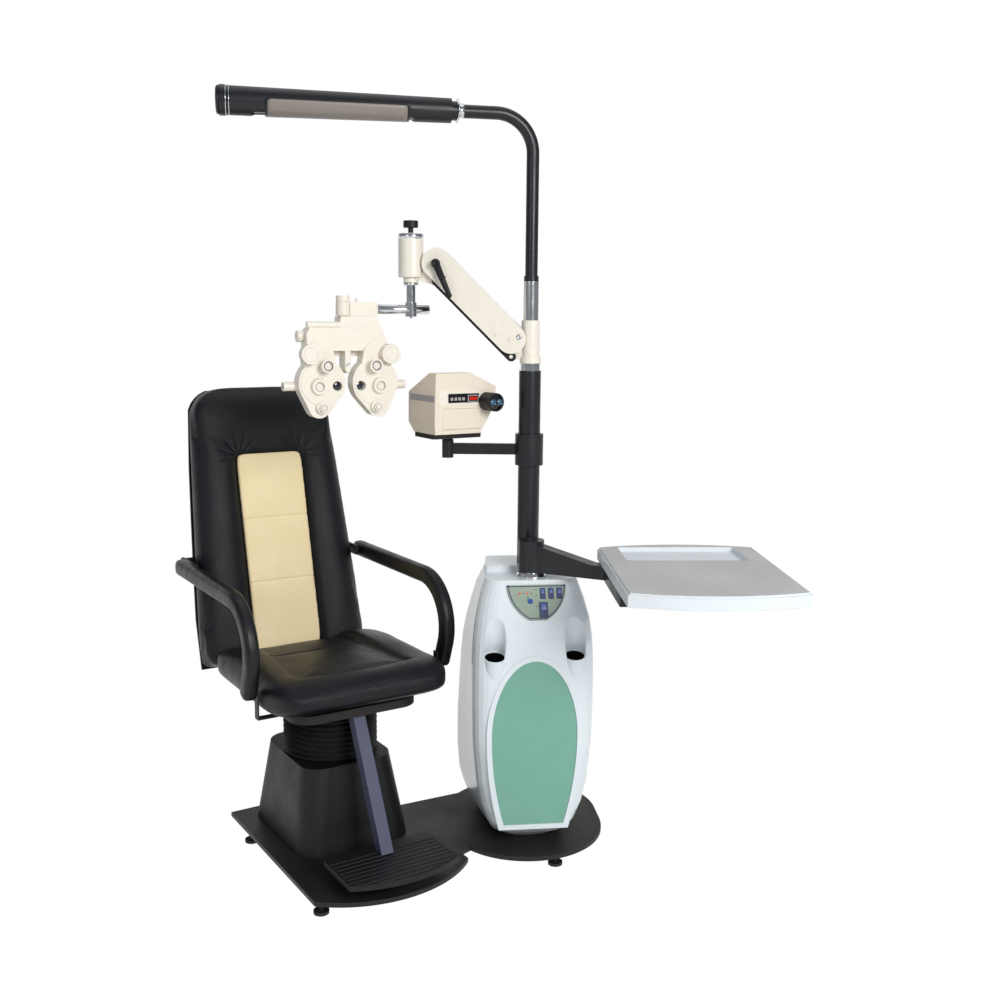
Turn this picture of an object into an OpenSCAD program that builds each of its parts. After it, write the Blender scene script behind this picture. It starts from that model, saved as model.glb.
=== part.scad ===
// Ophthalmic refraction unit: patient chair, instrument console, swing table,
// counterbalanced refractor arm, chart projector and reading lamp on one base plate.
// The console axis stands at (console_x, console_y); X runs to the right, Y to the back, Z up.

/* [Placement] */
// Console axis from the middle of the footprint, across
console_x = 204; // [100:1:300]
// Console axis from the middle of the footprint, to the back
console_y = -4; // [-50:1:50]
// Column axis from the console axis, across
column_side = 6; // [0:1:20]
// Column axis from the console axis, to the back
column_back = 66; // [62:1:90]
// Chair axis from the console axis, to the left
chair_reach = 550; // [500:1:620]
// Chair axis from the console axis, to the back
chair_back = 68; // [30:1:100]
// Turn of the chair and its pedestal towards the console
chair_turn = 25.7; // [15:0.1:35]

/* [Base plate] */
// Thickness of the steel base plate
plate_t = 12; // [8:1:20]
// Clearance under the plate, set by the levelling feet
foot_h = 38; // [25:1:60]
// Half width of the chair end of the plate
chair_end_half = 222; // [210:1:260]
// Front reach of the chair end from the chair axis
chair_end_front = 475; // [460:1:520]
// Back reach of the chair end from the chair axis
chair_end_back = 215; // [205:1:260]
// Radius of the front arc of the chair end
chair_end_r = 330; // [300:1:400]
// Radius of the console end of the plate
console_end_r = 220; // [210:1:260]
// Straight stretch of the console end
console_end_straight = 80; // [40:1:120]
// Radius of the scooped front edge between the two ends
scoop_r = 430; // [350:1:600]
// Radius of a levelling foot
foot_r = 20; // [15:1:30]
// Radius of a levelling foot's stud
stud_r = 6; // [4:0.5:8]

/* [Pedestal and lift] */
// Height of the pedestal cover
ped_h = 230; // [200:1:260]
// Width of the pedestal at the plate
ped_w = 330; // [300:1:360]
// Depth of the pedestal at the plate
ped_d = 385; // [340:1:400]
// Width of the pedestal at its top
ped_top_w = 262; // [250:1:280]
// Depth of the pedestal at its top
ped_top_d = 320; // [280:1:330]
// Corner radius of the pedestal
ped_r = 60; // [40:1:70]
// Wall of the moulded covers
wall = 4; // [3:0.5:6]
// Outer radius of the fixed lift tube
lift_r = 60; // [55:1:70]
// Radius of the sliding lift column
ram_r = 50; // [45:1:54]
// Height of the sliding flange above the floor with the chair as photographed
flange_z = 425; // [415:1:440]
// Outer radius of the bellows
bellows_r = 131; // [120:1:134]
// Number of folds in the bellows
folds = 9; // [6:1:12]
// Depth of a fold
fold_depth = 16; // [10:1:20]

/* [Seat] */
// Height of the lower edge of the seat cushion
seat_z = 458; // [445:1:470]
// Half width of the seat cushion
seat_half = 262; // [240:1:266]
// Front reach of the seat cushion from the chair axis
seat_front = 284; // [250:1:290]
// Back reach of the seat cushion from the chair axis
seat_back = 263; // [240:1:263]
// Height of the seat cushion
seat_h = 106; // [90:1:120]
// Half width of the sunken middle of the seat
seat_mid_half = 150; // [120:1:180]
// Depth of the channel round the middle of the seat
channel = 7; // [4:1:10]

/* [Backrest] */
// Front face of the backrest behind the chair axis, at seat height
back_y = 290; // [285:1:320]
// Height where the front face is measured
back_z = 530; // [510:1:540]
// Recline of the backrest
back_tilt = 13.1; // [5:0.1:20]
// Length of the backrest above its reference height
back_up = 768; // [650:1:800]
// Length of the backrest below its reference height
back_down = 66; // [40:1:68]
// Half width of the backrest at the arms
back_half = 262; // [240:1:262]
// Half width of the backrest at the head
head_half = 213; // [180:1:235]
// Corner radius at the head
head_r = 84; // [50:1:100]
// Thickness of the backrest cushion
back_t = 80; // [60:1:84]
// Thickness of the rear shell
shell_t = 26; // [20:1:40]
// Half width of the pale middle panel
inset_half = 104; // [90:1:120]
// Height of the pale middle panel above the reference height
inset_up = 560; // [450:1:600]
// Depth of the recess that takes the middle panel
inset_t = 20; // [12:1:26]

/* [Armrests] */
// Width of an armrest across
arm_w = 38; // [35:1:50]
// Depth of an armrest's section
arm_d = 46; // [40:1:56]
// Edge radius of an armrest
arm_edge = 12; // [8:1:13]
// Height of the armrest's centre line
arm_z = 753; // [740:1:780]
// Bend radius at the front of an armrest
arm_bend = 130; // [100:1:160]
// Turn of that bend
arm_turn = 110; // [95:1:120]
// Length of the horizontal stretch
arm_run = 443; // [420:1:480]
// Length of the front leg below the bend
arm_leg = 70; // [60:1:80]
// Rear end of the armrest behind the chair axis
arm_rear = 412; // [400:1:430]

/* [Footrest] */
// Width of the footrest
rest_w = 312; // [280:1:330]
// Depth of the footrest at its ends
rest_d = 170; // [140:1:190]
// Bow of the front edge of the footrest
rest_bow = 38; // [10:1:50]
// Inner edge of the footrest in front of the chair axis
rest_y = 284; // [280:1:300]
// Height of the footrest's upper face
rest_z = 104; // [100:1:130]
// Thickness of the footrest
rest_t = 16; // [12:1:20]
// Number of tread ribs
treads = 9; // [5:1:12]
// Side of the square footrest bar
bar_w = 34; // [25:1:40]

/* [Console] */
// Height of the console's deck above the floor
deck_z = 785; // [760:1:800]
// Largest half width of the console
console_half = 180; // [170:1:190]
// Largest front reach of the console from its axis
console_front = 150; // [140:1:170]
// Back reach of the console from its axis
console_back = 236; // [200:1:260]
// Radius of an instrument well
well_r = 27; // [20:1:32]
// Depth of an instrument well
well_d = 130; // [80:1:180]
// Height of a well's mouth
well_z = 590; // [570:1:610]
// Well axis from the middle of the console
well_x = 108; // [104:1:112]
// Mouth of a well in front of the console axis
well_y = 132; // [126:1:136]
// Lean of the wells towards the examiner
well_lean = 13; // [5:0.5:15]
// Half width of the front panel
panel_half = 116; // [100:1:118]
// Height of the front panel
panel_h = 459; // [430:1:465]
// Width of the raised border round the front panel
border_w = 14; // [8:1:16]
// Lower edge of the front panel above the floor
panel_z = 122; // [118:1:150]
// Thickness of the front panel
panel_t = 3; // [2:0.5:5]

/* [Column and table] */
// Radius of the main column
column_r = 30; // [25:1:34]
// Height of the main column
column_top = 1340; // [1300:1:1380]
// Radius of the plated socket tube above the column
socket_r = 21; // [18:1:24]
// Top of the plated socket tube
socket_top = 1580; // [1540:1:1620]
// Width of the table top
table_w = 425; // [350:1:500]
// Depth of the table top
table_d = 590; // [500:1:650]
// Thickness of the table top
table_t = 33; // [20:1:40]
// Height of the table's upper face
table_z = 872; // [860:1:900]
// Depth of the tray in the table top
tray_t = 12; // [6:1:18]
// Radius of the pin that the table swings on
pivot_r = 28; // [22:1:30]
// Table pivot from the console axis, across
pivot_x = 3; // [-10:1:10]
// Table pivot in front of the console axis
pivot_y = 23; // [20:1:26]

/* [Lamp] */
// Radius of the lamp pole
pole_r = 17; // [14:1:19]
// Height of the horizontal stretch of the pole
pole_z = 2013; // [1950:1:2080]
// Bend radius of the pole
pole_bend = 100; // [70:1:130]
// Direction of the lamp from the column
lamp_turn = 185.4; // [170:0.1:200]
// Start of the lamp housing from the column axis
lamp_start = 222; // [200:1:250]
// Length of the lamp housing
lamp_l = 586; // [520:1:620]
// Radius of the lamp housing at the pole
lamp_r1 = 31; // [28:1:34]
// Radius of the lamp housing at its free end
lamp_r2 = 36; // [32:1:40]

/* [Refractor arm] */
// Direction of the refractor arm from the column
arm_yaw = 171; // [160:1:180]
// Height of the lower pivot of the arm
root_z = 1426; // [1410:1:1440]
// Lower pivot from the column axis
root_x = 52; // [46:1:56]
// Distance between the arm's two pivots
arm_span = 285; // [250:1:320]
// Rise of the arm as photographed
arm_rise = 44.6; // [30:0.1:50]
// Radius of the rounded ends of the arm
arm_end_r = 40; // [36:1:44]
// Width of the arm across its side plates
arm_box = 58; // [56:1:64]
// Radius of the head cylinder
head_cyl_r = 34; // [30:1:38]
// Head cylinder's axis from the upper pivot
head_x = 72; // [66:1:80]
// Radius of the drop rod and of the cross bar
rod_r = 12.5; // [10:0.5:14]
// Height of the cross bar above the floor
cross_z = 1502; // [1490:1:1510]

/* [Refractor] */
// Turn of the refractor's own frame
refractor_yaw = 21; // [10:1:30]
// Post from the drop rod along the cross bar
post_x = 196; // [170:1:220]
// Height of the two eye holes
eye_z = 1301; // [1280:1:1320]
// Distance between the two eye holes
pupil = 66; // [60:1:75]
// Thickness of a lens battery
battery_t = 40; // [34:1:50]
// Radius of a lens battery's main disc
battery_r = 64; // [56:1:65]

/* [Projector] */
// Direction of the projector bracket from the column
bracket_turn = 173; // [165:1:190]
// Reach of the projector bracket
bracket_reach = 225; // [190:1:240]
// Height of the bracket's centre line
bracket_z = 1124; // [1100:1:1160]
// Length of the projector body
projector_l = 150; // [130:1:180]
// Width of the projector body
projector_w = 192; // [160:1:200]
// Height of the projector body
projector_h = 164; // [140:1:190]

/* [Hidden] */
$fn = 64;

// Radial play of a running fit
play = 0.05;
// Gap between curved or moving neighbours
gap = 0.3;
// Overrun of every cut
over = 2;
// Facets of hulled corners
hull_fn = 32;

plate_top = foot_h + plate_t;
ped_top = plate_top + ped_h;
flange_t = 6;
bellows_h = flange_z - flange_t - ped_top;

black = "#1b1c1e";
satin = "#26282b";
leather = "#1d2024";
beige = "#e9d6ac";
pearl = "#c9d2d6";
green = "#74ab97";
steel = "#9da3a8";
chrome = "#d5d8da";
ivory = "#f2ead6";
charcoal = "#34363a";
navy = "#2a3166";
grey = "#b9bab8";

// Place children on the console axis
module at_console() { translate([console_x, console_y, 0]) children(); }

// Place children on the column axis
module at_column() { at_console() translate([column_side, column_back, 0]) children(); }

// Place children on the chair axis, -Y to the front of the chair
module at_chair() {
    at_console() translate([-chair_reach, chair_back, 0]) rotate([0, 0, chair_turn]) children();
}

// Rectangle with round corners, made of true arcs
module round_rect(w, d, r) {
    square([w - 2 * r, d], center = true);
    square([w, d - 2 * r], center = true);
    for (sx = [-1, 1], sy = [-1, 1]) translate([sx * (w / 2 - r), sy * (d / 2 - r)]) circle(r);
}

module round_slab(w, d, h, r) { linear_extrude(h) round_rect(w, d, r); }

module tube(h, r_out, r_in) {
    linear_extrude(h) difference() {
        circle(r_out);
        circle(r_in);
    }
}

// Middle of a ring of points
function centre(ring) = [for (k = [0:2]) [for (p = ring) p[k]] * [for (p = ring) 1] / len(ring)];

// Solid through a stack of rings that all hold n points, counter-clockwise from above
module loft(rings) {
    n = len(rings[0]);
    m = len(rings);
    points = concat([for (ring = rings) for (p = ring) p], [centre(rings[0]), centre(rings[m - 1])]);
    sides = [for (i = [0:m - 2], j = [0:n - 1], half = [0, 1])
        let (a = i * n + j, b = i * n + (j + 1) % n, c = b + n, d = a + n)
        half == 0 ? [a, d, c] : [a, c, b]];
    bottom = [for (j = [0:n - 1]) [m * n, j, (j + 1) % n]];
    top = [for (j = [0:n - 1]) [m * n + 1, (m - 1) * n + (j + 1) % n, (m - 1) * n + j]];
    polyhedron(points, concat(sides, bottom, top), convexity = 4);
}

// Ring of a rounded rectangle from y0 to y1, k steps a corner
function ring_rect(half, y0, y1, r, z, k = 6) = [
    for (corner = [[1, 1, 0], [-1, 1, 90], [-1, -1, 180], [1, -1, 270]], i = [0:k])
        let (a = corner[2] + 90 * i / k, ym = (y0 + y1) / 2, hy = (y1 - y0) / 2)
        [corner[0] * (half - r) + r * cos(a), ym + corner[1] * (hy - r) + r * sin(a), z]];

// Value between the steps of a table of [share, value]
function blend(table, s, i = 0) =
    i >= len(table) - 2 || s <= table[i + 1][0]
        ? let (t = (s - table[i][0]) / (table[i + 1][0] - table[i][0]), u = min(1, max(0, t)))
          table[i][1] + (table[i + 1][1] - table[i][1]) * u
        : blend(table, s, i + 1);

// Centre of a circle of radius r through p and q, on the right of the way from p to q
function arc_centre(p, q, r) =
    let (m = (p + q) / 2, v = q - p, l = norm(v)) m + [v[1], -v[0]] / l * sqrt(r * r - l * l / 4);

// Point of the chair's frame, seen from the console axis
function chair_point(x, y) = [-chair_reach + x * cos(chair_turn) - y * sin(chair_turn),
                              chair_back + x * sin(chair_turn) + y * cos(chair_turn)];

// Base plate

console_end_y = 60;
scoop_start = chair_point(0.42 * chair_end_half, -0.9 * chair_end_front);
scoop_end = [-0.66 * console_end_r, console_end_y - 0.74 * console_end_r];
neck_back = [-0.78 * console_end_r, console_end_y + console_end_straight / 2 + 0.62 * console_end_r];
neck_corner = chair_point(0.9 * chair_end_half, 0.02 * chair_end_back);
foot_inset = 24;

module chair_end_outline() {
    intersection() {
        translate([-chair_end_half, -chair_end_front])
            square([2 * chair_end_half, chair_end_front + chair_end_back]);
        translate([0, chair_end_r - chair_end_front]) union() {
            circle(chair_end_r, $fn = 128);
            translate([-chair_end_half, 0]) square([2 * chair_end_half, chair_end_front + chair_end_back]);
        }
    }
}

module console_end_outline() {
    for (s = [-1, 1]) translate([0, console_end_y + s * console_end_straight / 2])
        circle(console_end_r, $fn = 128);
    translate([0, console_end_y]) square([2 * console_end_r, console_end_straight], center = true);
}

module neck_outline() {
    difference() {
        polygon([scoop_start, scoop_end, [0, console_end_y], neck_back, neck_corner]);
        translate(arc_centre(scoop_start, scoop_end, scoop_r)) circle(scoop_r, $fn = 128);
    }
}

module base_plate() {
    color(satin) at_console() translate([0, 0, foot_h]) linear_extrude(plate_t) union() {
        translate([-chair_reach, chair_back]) rotate(chair_turn) chair_end_outline();
        console_end_outline();
        neck_outline();
    }
}

// Feet under the chair end, as shares of its half width and its front reach
foot_shares = [[-0.865, -0.76], [0.486, -0.77], [-0.9, 0.223], [0.9, 0.223]];

function foot_places() = concat(
    [for (f = foot_shares) chair_point(f[0] * chair_end_half, f[1] * chair_end_front)],
    [for (a = [-69, 54, 126]) [(console_end_r - foot_inset - foot_r) * cos(a),
        console_end_y + sign(a) * console_end_straight / 2 + (console_end_r - foot_inset - foot_r) * sin(a)]]);

module levelling_foot() {
    pad_t = 8;
    nut_t = 9;
    cylinder(h = pad_t, r = foot_r);
    cylinder(h = foot_h, r = stud_r);
    translate([0, 0, foot_h - nut_t]) cylinder(h = nut_t, r = 2 * stud_r, $fn = 6);
}

module levelling_feet() {
    color(black) at_console() for (p = foot_places()) translate(p) levelling_foot();
}

// Pedestal and lift

ped_shift = (ped_d - ped_top_d) / 5;

module ped_block(inset, top_cut) {
    skin = 1;
    hull() {
        linear_extrude(skin) translate([0, ped_shift / 2]) round_rect(ped_w - 2 * inset, ped_d - 2 * inset, ped_r - inset);
        translate([0, 0, ped_h - skin - top_cut]) linear_extrude(skin)
            translate([0, ped_shift]) round_rect(ped_top_w - 2 * inset, ped_top_d - 2 * inset, ped_r - inset);
    }
}

module pedestal_cover() {
    color(black) at_chair() translate([0, 0, plate_top]) difference() {
        ped_block(0, 0, $fn = hull_fn);
        translate([0, 0, -over]) ped_block(wall, wall - over, $fn = hull_fn);
        cylinder(h = ped_h + over, r = bellows_r - fold_depth - 2 * wall);
    }
}

lift_tube_h = ped_h + 40;
tube_foot_r = lift_r + 30;
tube_foot_t = 10;

module lift_tube() {
    color(steel) at_chair() translate([0, 0, plate_top]) difference() {
        union() {
            cylinder(h = lift_tube_h, r = lift_r);
            cylinder(h = tube_foot_t, r = tube_foot_r);
        }
        translate([0, 0, -over]) cylinder(h = lift_tube_h + 2 * over, r = ram_r + play);
    }
}

motor_r = 26;
motor_h = 150;

// Geared motor beside the lift tube, with its clamp block
module lift_motor() {
    block_w = 44;
    block_h = 40;
    color(charcoal) at_chair() translate([0, lift_r + gap, plate_top + tube_foot_t + gap]) {
        translate([0, block_w, 0]) cylinder(h = motor_h, r = motor_r);
        difference() {
            translate([-block_w / 2, 0, motor_h / 2]) cube([block_w, block_w, block_h]);
            translate([0, -lift_r - gap, 0]) cylinder(h = ped_h, r = lift_r + gap);
        }
    }
}

ram_clear = 40;
stud_bore_r = 20;
stud_bore_h = 42;

module lift_ram() {
    bottom = plate_top + ram_clear;
    color(chrome) at_chair() difference() {
        union() {
            translate([0, 0, bottom]) cylinder(h = flange_z - bottom, r = ram_r);
            translate([0, 0, flange_z - flange_t]) cylinder(h = flange_t, r = bellows_r);
        }
        translate([0, 0, flange_z - stud_bore_h]) cylinder(h = stud_bore_h + over, r = stud_bore_r + play);
    }
}

// Folded rubber sleeve: outer zigzag, inner zigzag one skin inside it
module bellows() {
    skin = 2.5;
    pitch = bellows_h / folds;
    outside = [for (i = [0:folds - 1], s = [[0.12, 1], [0.5, 0], [0.88, 1]])
        [bellows_r - fold_depth * s[1], (i + s[0]) * pitch]];
    inside = [for (i = [folds - 1:-1:0], s = [[0.88, 1], [0.5, 0], [0.12, 1]])
        [bellows_r - skin - fold_depth * s[1], (i + s[0]) * pitch]];
    foot = bellows_r - fold_depth;
    color(black) at_chair() translate([0, 0, ped_top]) rotate_extrude($fn = 96)
        polygon(concat([[foot, 0]], outside, [[foot, bellows_h], [foot - skin, bellows_h]],
                       inside, [[foot - skin, 0]]));
}

// Seat

// Point of an armrest's centre line, l down its leg: [back, up]
function leg_point(l) = [arm_rear - arm_run - arm_bend * sin(arm_turn) - l * cos(arm_turn),
                         arm_z - arm_bend + arm_bend * cos(arm_turn) - l * sin(arm_turn)];

strap_t = 4;
arm_in = seat_half + gap + strap_t;
lug_t = 8;
lug_rim = 3;
strap_hold = 40;
turn_plate = 230;
turn_plate_t = 8;
pan_t = seat_z - flange_z - turn_plate_t - 2;
pan_edge = 80;
spine_w = 90;
spine_t = 8;
tube_r = 12;
spine_y = back_t + shell_t + gap;
spine_up = (arm_z - back_z + (spine_y + tube_r) * sin(back_tilt)) / cos(back_tilt);

module at_back() { translate([0, back_y, back_z]) rotate([-back_tilt, 0, 0]) children(); }

// Welded frame: turntable, seat pan, arm bar, and the spine and cross tube behind the backrest
module seat_frame() {
    pan_z = flange_z + turn_plate_t;
    spine_root = (back_z - flange_z) / cos(back_tilt);
    bar = 2 * (arm_d / 2 - arm_edge);
    mid = leg_point(arm_leg - strap_hold / 2);
    strap_z = pan_z + pan_t - strap_t;
    strap_end = leg_point(arm_leg)[1] + strap_hold;
    lug_front = arm_rear - arm_d;
    lug_back = back_y + (spine_y + tube_r) * cos(back_tilt) + spine_up * sin(back_tilt);
    color(black) at_chair() {
        translate([-turn_plate / 2, -turn_plate / 2, flange_z]) cube([turn_plate, turn_plate, turn_plate_t]);
        translate([0, 0, flange_z - stud_bore_h + over]) cylinder(h = stud_bore_h, r = stud_bore_r);
        translate([0, (seat_back - seat_front) / 2, pan_z])
            round_slab(2 * (seat_half - pan_edge), seat_front + seat_back - 2 * pan_edge, pan_t, ped_r);
        translate([-arm_in, mid[0] - bar / 2, strap_z]) cube([2 * arm_in, bar, strap_t]);
        translate([-spine_w / 2, 0, pan_z]) cube([spine_w, back_y + spine_y, spine_t]);
        difference() {
            at_back() translate([-spine_w / 2, spine_y, -2 * spine_root])
                cube([spine_w, spine_t, 2 * spine_root + spine_up]);
            translate([-spine_w, back_y, 0]) cube([2 * spine_w, 2 * spine_w, pan_z]);
        }
        at_back() translate([0, spine_y + tube_r, spine_up]) rotate([0, 90, 0])
            cylinder(h = 2 * arm_in, r = tube_r, center = true);
        for (s = [-1, 1]) {
            translate([s * (arm_in - lug_t / 2) - lug_t / 2, lug_front, arm_z - tube_r - lug_rim])
                cube([lug_t, lug_back - lug_front, 2 * (tube_r + lug_rim)]);
            translate([s * (arm_in - strap_t / 2) - strap_t / 2, mid[0] - bar / 2, strap_z])
                cube([strap_t, bar, strap_end - strap_z]);
        }
    }
}

// Shares along the depth of the seat, from its back to its front: half width, height
seat_width_shares = [[0, 0.9], [0.08, 0.97], [0.3, 1], [0.8, 1], [0.9, 0.975], [0.96, 0.92], [1, 0.84]];
seat_height_shares = [[0, 0.88], [0.1, 0.94], [0.5, 0.93], [0.8, 1], [0.9, 0.99], [0.96, 0.9], [1, 0.7]];
seat_foot_shares = [[0, 0.03], [0.9, 0], [1, 0.1]];

// Half section of the seat from the middle of its top: [share of half width, share of height]
function seat_section(w, h, low) =
    let (mid = min(seat_mid_half, w * 0.75), crown = h * 0.05)
    [[0, h - channel * 0.3], [mid * 0.6, h - channel * 0.35], [mid - channel, h - channel * 0.7],
     [mid, h - channel - crown], [mid + channel, h - channel * 0.2], [(mid + w) / 2, h + crown],
     [w * 0.9, h + crown * 0.4], [w * 0.965, h - crown], [w, h * 0.78], [w * 1.0, h * 0.5],
     [w * 0.988, h * 0.25], [w * 0.97, low + h * 0.04], [w * 0.93, low]];

function mirror_ring(half, z) = concat(
    [for (i = [len(half) - 1:-1:0]) [half[i][0], half[i][1], z]],
    [for (i = [1:len(half) - 1]) [-half[i][0], half[i][1], z]]);

seat_steps = [0, 0.03, 0.08, 0.16, 0.26, 0.262, 0.28, 0.4, 0.52, 0.64, 0.76, 0.84, 0.9, 0.94, 0.97, 0.99, 1];

module seat_cushion() {
    l = seat_front + seat_back;
    dip = 4;
    color(leather) at_chair() translate([0, 0, seat_z]) rotate([90, 0, 0]) loft([
        for (s = seat_steps)
            let (w = seat_half * blend(seat_width_shares, s),
                 h = seat_h * blend(seat_height_shares, s) - (abs(s - 0.262) < 0.001 ? dip : 0),
                 low = seat_h * blend(seat_foot_shares, s))
            mirror_ring(seat_section(w, h, low), -seat_back + l * s)]);
}

// Backrest, in its own tilted frame: Y from the front face to the back

back_width_shares = [[0, 0.94], [0.06, 0.98], [0.2, 1], [0.3, 0.985], [0.45, 0.93], [0.62, 0.885],
                     [0.8, 0.845], [0.9, 0.82], [1, 0.8]];
head_steps = [0.3, 0.55, 0.74, 0.87, 0.95, 0.99];
head_share = head_half / back_half;

// Half width of the backrest at height z above its reference height
function back_width(z) =
    let (s = (z + back_down) / (back_up + back_down), over_r = z - (back_up - head_r),
         w = back_half * (1 - (1 - head_share) * pow(s, 1.25)) * (s < 0.08 ? 0.97 + 0.03 * s / 0.08 : 1))
    over_r <= 0 ? w : w - head_r + sqrt(max(0, head_r * head_r - over_r * over_r));

// Front face of the bolster: how far it stands back near the head
function head_fall(z) = let (k = max(0, z - (back_up - head_r)) / head_r) back_t * 0.42 * k * k;

function back_section(w, z, sunk, t) =
    let (i = min(inset_half + gap, w * 0.62), y0 = head_fall(z), bolster = w - i, out = back_t * 0.07)
    [[0, y0 + sunk], [i * 0.5, y0 + sunk], [i, y0 + sunk], [i + gap, y0 + out],
     [i + bolster * 0.2, y0 - out], [i + bolster * 0.45, y0 - out * 1.6], [i + bolster * 0.68, y0 - out * 0.6],
     [i + bolster * 0.85, y0 + out * 1.5], [i + bolster * 0.95, y0 + (t - y0) * 0.22],
     [w, y0 + (t - y0) * 0.5], [w - out, y0 + (t - y0) * 0.82], [w - 2 * out, t]];

function turn_ring(half, z) = concat(
    [for (i = [0:len(half) - 1]) [half[i][0], half[i][1], z]],
    [for (i = [len(half) - 1:-1:1]) [-half[i][0], half[i][1], z]]);

inset_top = inset_up;
back_steps = concat(
    [for (s = [0, 0.03, 0.08, 0.16, 0.26, 0.36, 0.46, 0.56, 0.66]) [-back_down + s * (back_up + back_down), inset_t]],
    [[inset_top, inset_t], [inset_top + gap, 0]],
    [for (s = head_steps) [back_up - head_r + s * head_r, 0]]);

module backrest_cushion() {
    color(leather) at_chair() at_back() loft([
        for (step = back_steps) turn_ring(back_section(back_width(step[0]), step[0], step[1], back_t), step[0])]);
}

module backrest_inset() {
    seam = 3;
    rows = 3;
    edge = inset_t * 0.2;
    first = -back_down * 0.5;
    length = inset_top - gap - first;
    top_r = 26;
    color(beige) at_chair() at_back() translate([0, 0, first]) difference() {
        rotate([90, 0, 0]) translate([0, 0, gap - inset_t]) linear_extrude(inset_t - edge) union() {
            translate([-inset_half + gap, 0]) square([2 * (inset_half - gap), length - top_r]);
            translate([-inset_half + gap + top_r, 0]) square([2 * (inset_half - gap - top_r), length]);
            for (s = [-1, 1]) translate([s * (inset_half - gap - top_r), length - top_r]) circle(top_r);
        }
        for (i = [1:rows - 1]) translate([0, edge - seam / 2, i * length / rows + seam])
            rotate([0, 90, 0]) cylinder(h = 2 * inset_half, r = seam, center = true);
    }
}

shell_inset = 4;

// Moulded rear cover of the backrest, dished, with two ribs pressed along it
module backrest_shell() {
    rib_w = 26;
    rib_t = 5;
    steps = concat([for (s = [0, 0.2, 0.4, 0.6, 0.8]) -back_down + s * (back_up - head_r + back_down)],
                   [for (s = head_steps) back_up - head_r + s * (head_r - shell_inset)]);
    color(black) at_chair() at_back() translate([0, back_t + gap, 0]) difference() {
        loft([for (z = steps) let (w = back_width(z) - shell_inset, t = shell_t - rib_t)
            turn_ring([[0, 0], [w, 0], [w, t * 0.3], [w * 0.97, t * 0.7], [w * 0.9, t * 0.92], [w * 0.6, t], [0, t + rib_t]], z)]);
        for (s = [-1, 1]) translate([s * back_half * 0.42, shell_t + rib_t, 0])
            translate([-rib_w / 2, -2 * rib_t, 0]) cube([rib_w, 2 * rib_t, back_up * 0.75]);
    }
}

// Armrests

// Middle of the armrest's bend, and a point of the bend a degrees from the level run
bend_mid = [arm_rear - arm_run, arm_z - arm_bend];
bend_steps = 12;
function bend_point(a) = bend_mid + arm_bend * [-sin(a), cos(a)];
function bend_way(a) = [cos(a), sin(a)];

// Ring round a point p of the armrest's path, where it heads a degrees above level
function arm_ring(x, p, a, k = 4) = [
    for (corner = [[1, 1, 0], [-1, 1, 90], [-1, -1, 180], [1, -1, 270]], i = [0:k])
        let (t = corner[2] + 90 * i / k,
             across = corner[0] * (arm_w / 2 - arm_edge) + arm_edge * cos(t),
             up = corner[1] * (arm_d / 2 - arm_edge) + arm_edge * sin(t))
        [x + across, p[0] + up * sin(a), p[1] - up * cos(a)]];

// One moulded loop: a leg that rises from the seat frame, the front bend, and the level run
module armrest(side) {
    x = side * (arm_in + arm_w / 2);
    color(satin) at_chair() loft(concat(
        [arm_ring(x, bend_point(arm_turn) - arm_leg * bend_way(arm_turn), arm_turn)],
        [for (i = [bend_steps:-1:0]) let (a = arm_turn * i / bend_steps) arm_ring(x, bend_point(a), a)],
        [arm_ring(x, bend_point(0) + [arm_run, 0], 0)]));
}

module armrest_left() { armrest(-1); }
module armrest_right() { armrest(1); }

// Footrest

bar_top_y = -168;
bar_top_z = flange_z + turn_plate_t;
bar_foot_y = -rest_y - 50;
bar_lean = atan((bar_top_y - bar_foot_y) / (bar_top_z - rest_z));

module footrest_bar() {
    bar_wall = 3;
    length = (bar_top_z - rest_z) / cos(bar_lean);
    color("#565a70") at_chair() difference() {
        translate([0, bar_foot_y, rest_z]) rotate([-bar_lean, 0, 0])
            translate([0, 0, -bar_w]) linear_extrude(length + 2 * bar_w) difference() {
                square(bar_w, center = true);
                square(bar_w - 2 * bar_wall, center = true);
            }
        translate([-bar_w, -2 * rest_y, bar_top_z]) cube([2 * bar_w, 2 * rest_y, 4 * bar_w]);
        translate([-bar_w, -2 * rest_y, rest_z - 4 * bar_w]) cube([2 * bar_w, 2 * rest_y, 4 * bar_w]);
    }
}

module footrest_outline(inset) {
    bow_r = (rest_w * rest_w / 4 + rest_bow * rest_bow) / (2 * rest_bow);
    corner = 22;
    intersection() {
        translate([0, -rest_y - (rest_d + rest_bow) / 2])
            round_rect(rest_w - 2 * inset, rest_d + rest_bow - 2 * inset, corner);
        translate([0, -rest_y - rest_d - rest_bow + bow_r]) circle(bow_r - inset, $fn = 160);
    }
}

module footrest_plate() {
    rib = 2;
    edge = 6;
    step = (rest_d + rest_bow) / (treads + 2);
    color(satin) at_chair() translate([0, 0, rest_z - rest_t]) {
        linear_extrude(rest_t - rib) footrest_outline(0);
        intersection() {
            linear_extrude(rest_t) footrest_outline(edge);
            union() for (i = [2:treads + 1]) translate([-rest_w / 2, -rest_y - step * (i + 0.5), 0])
                cube([rest_w, step / 2, rest_t]);
        }
    }
}

// Console

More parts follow.
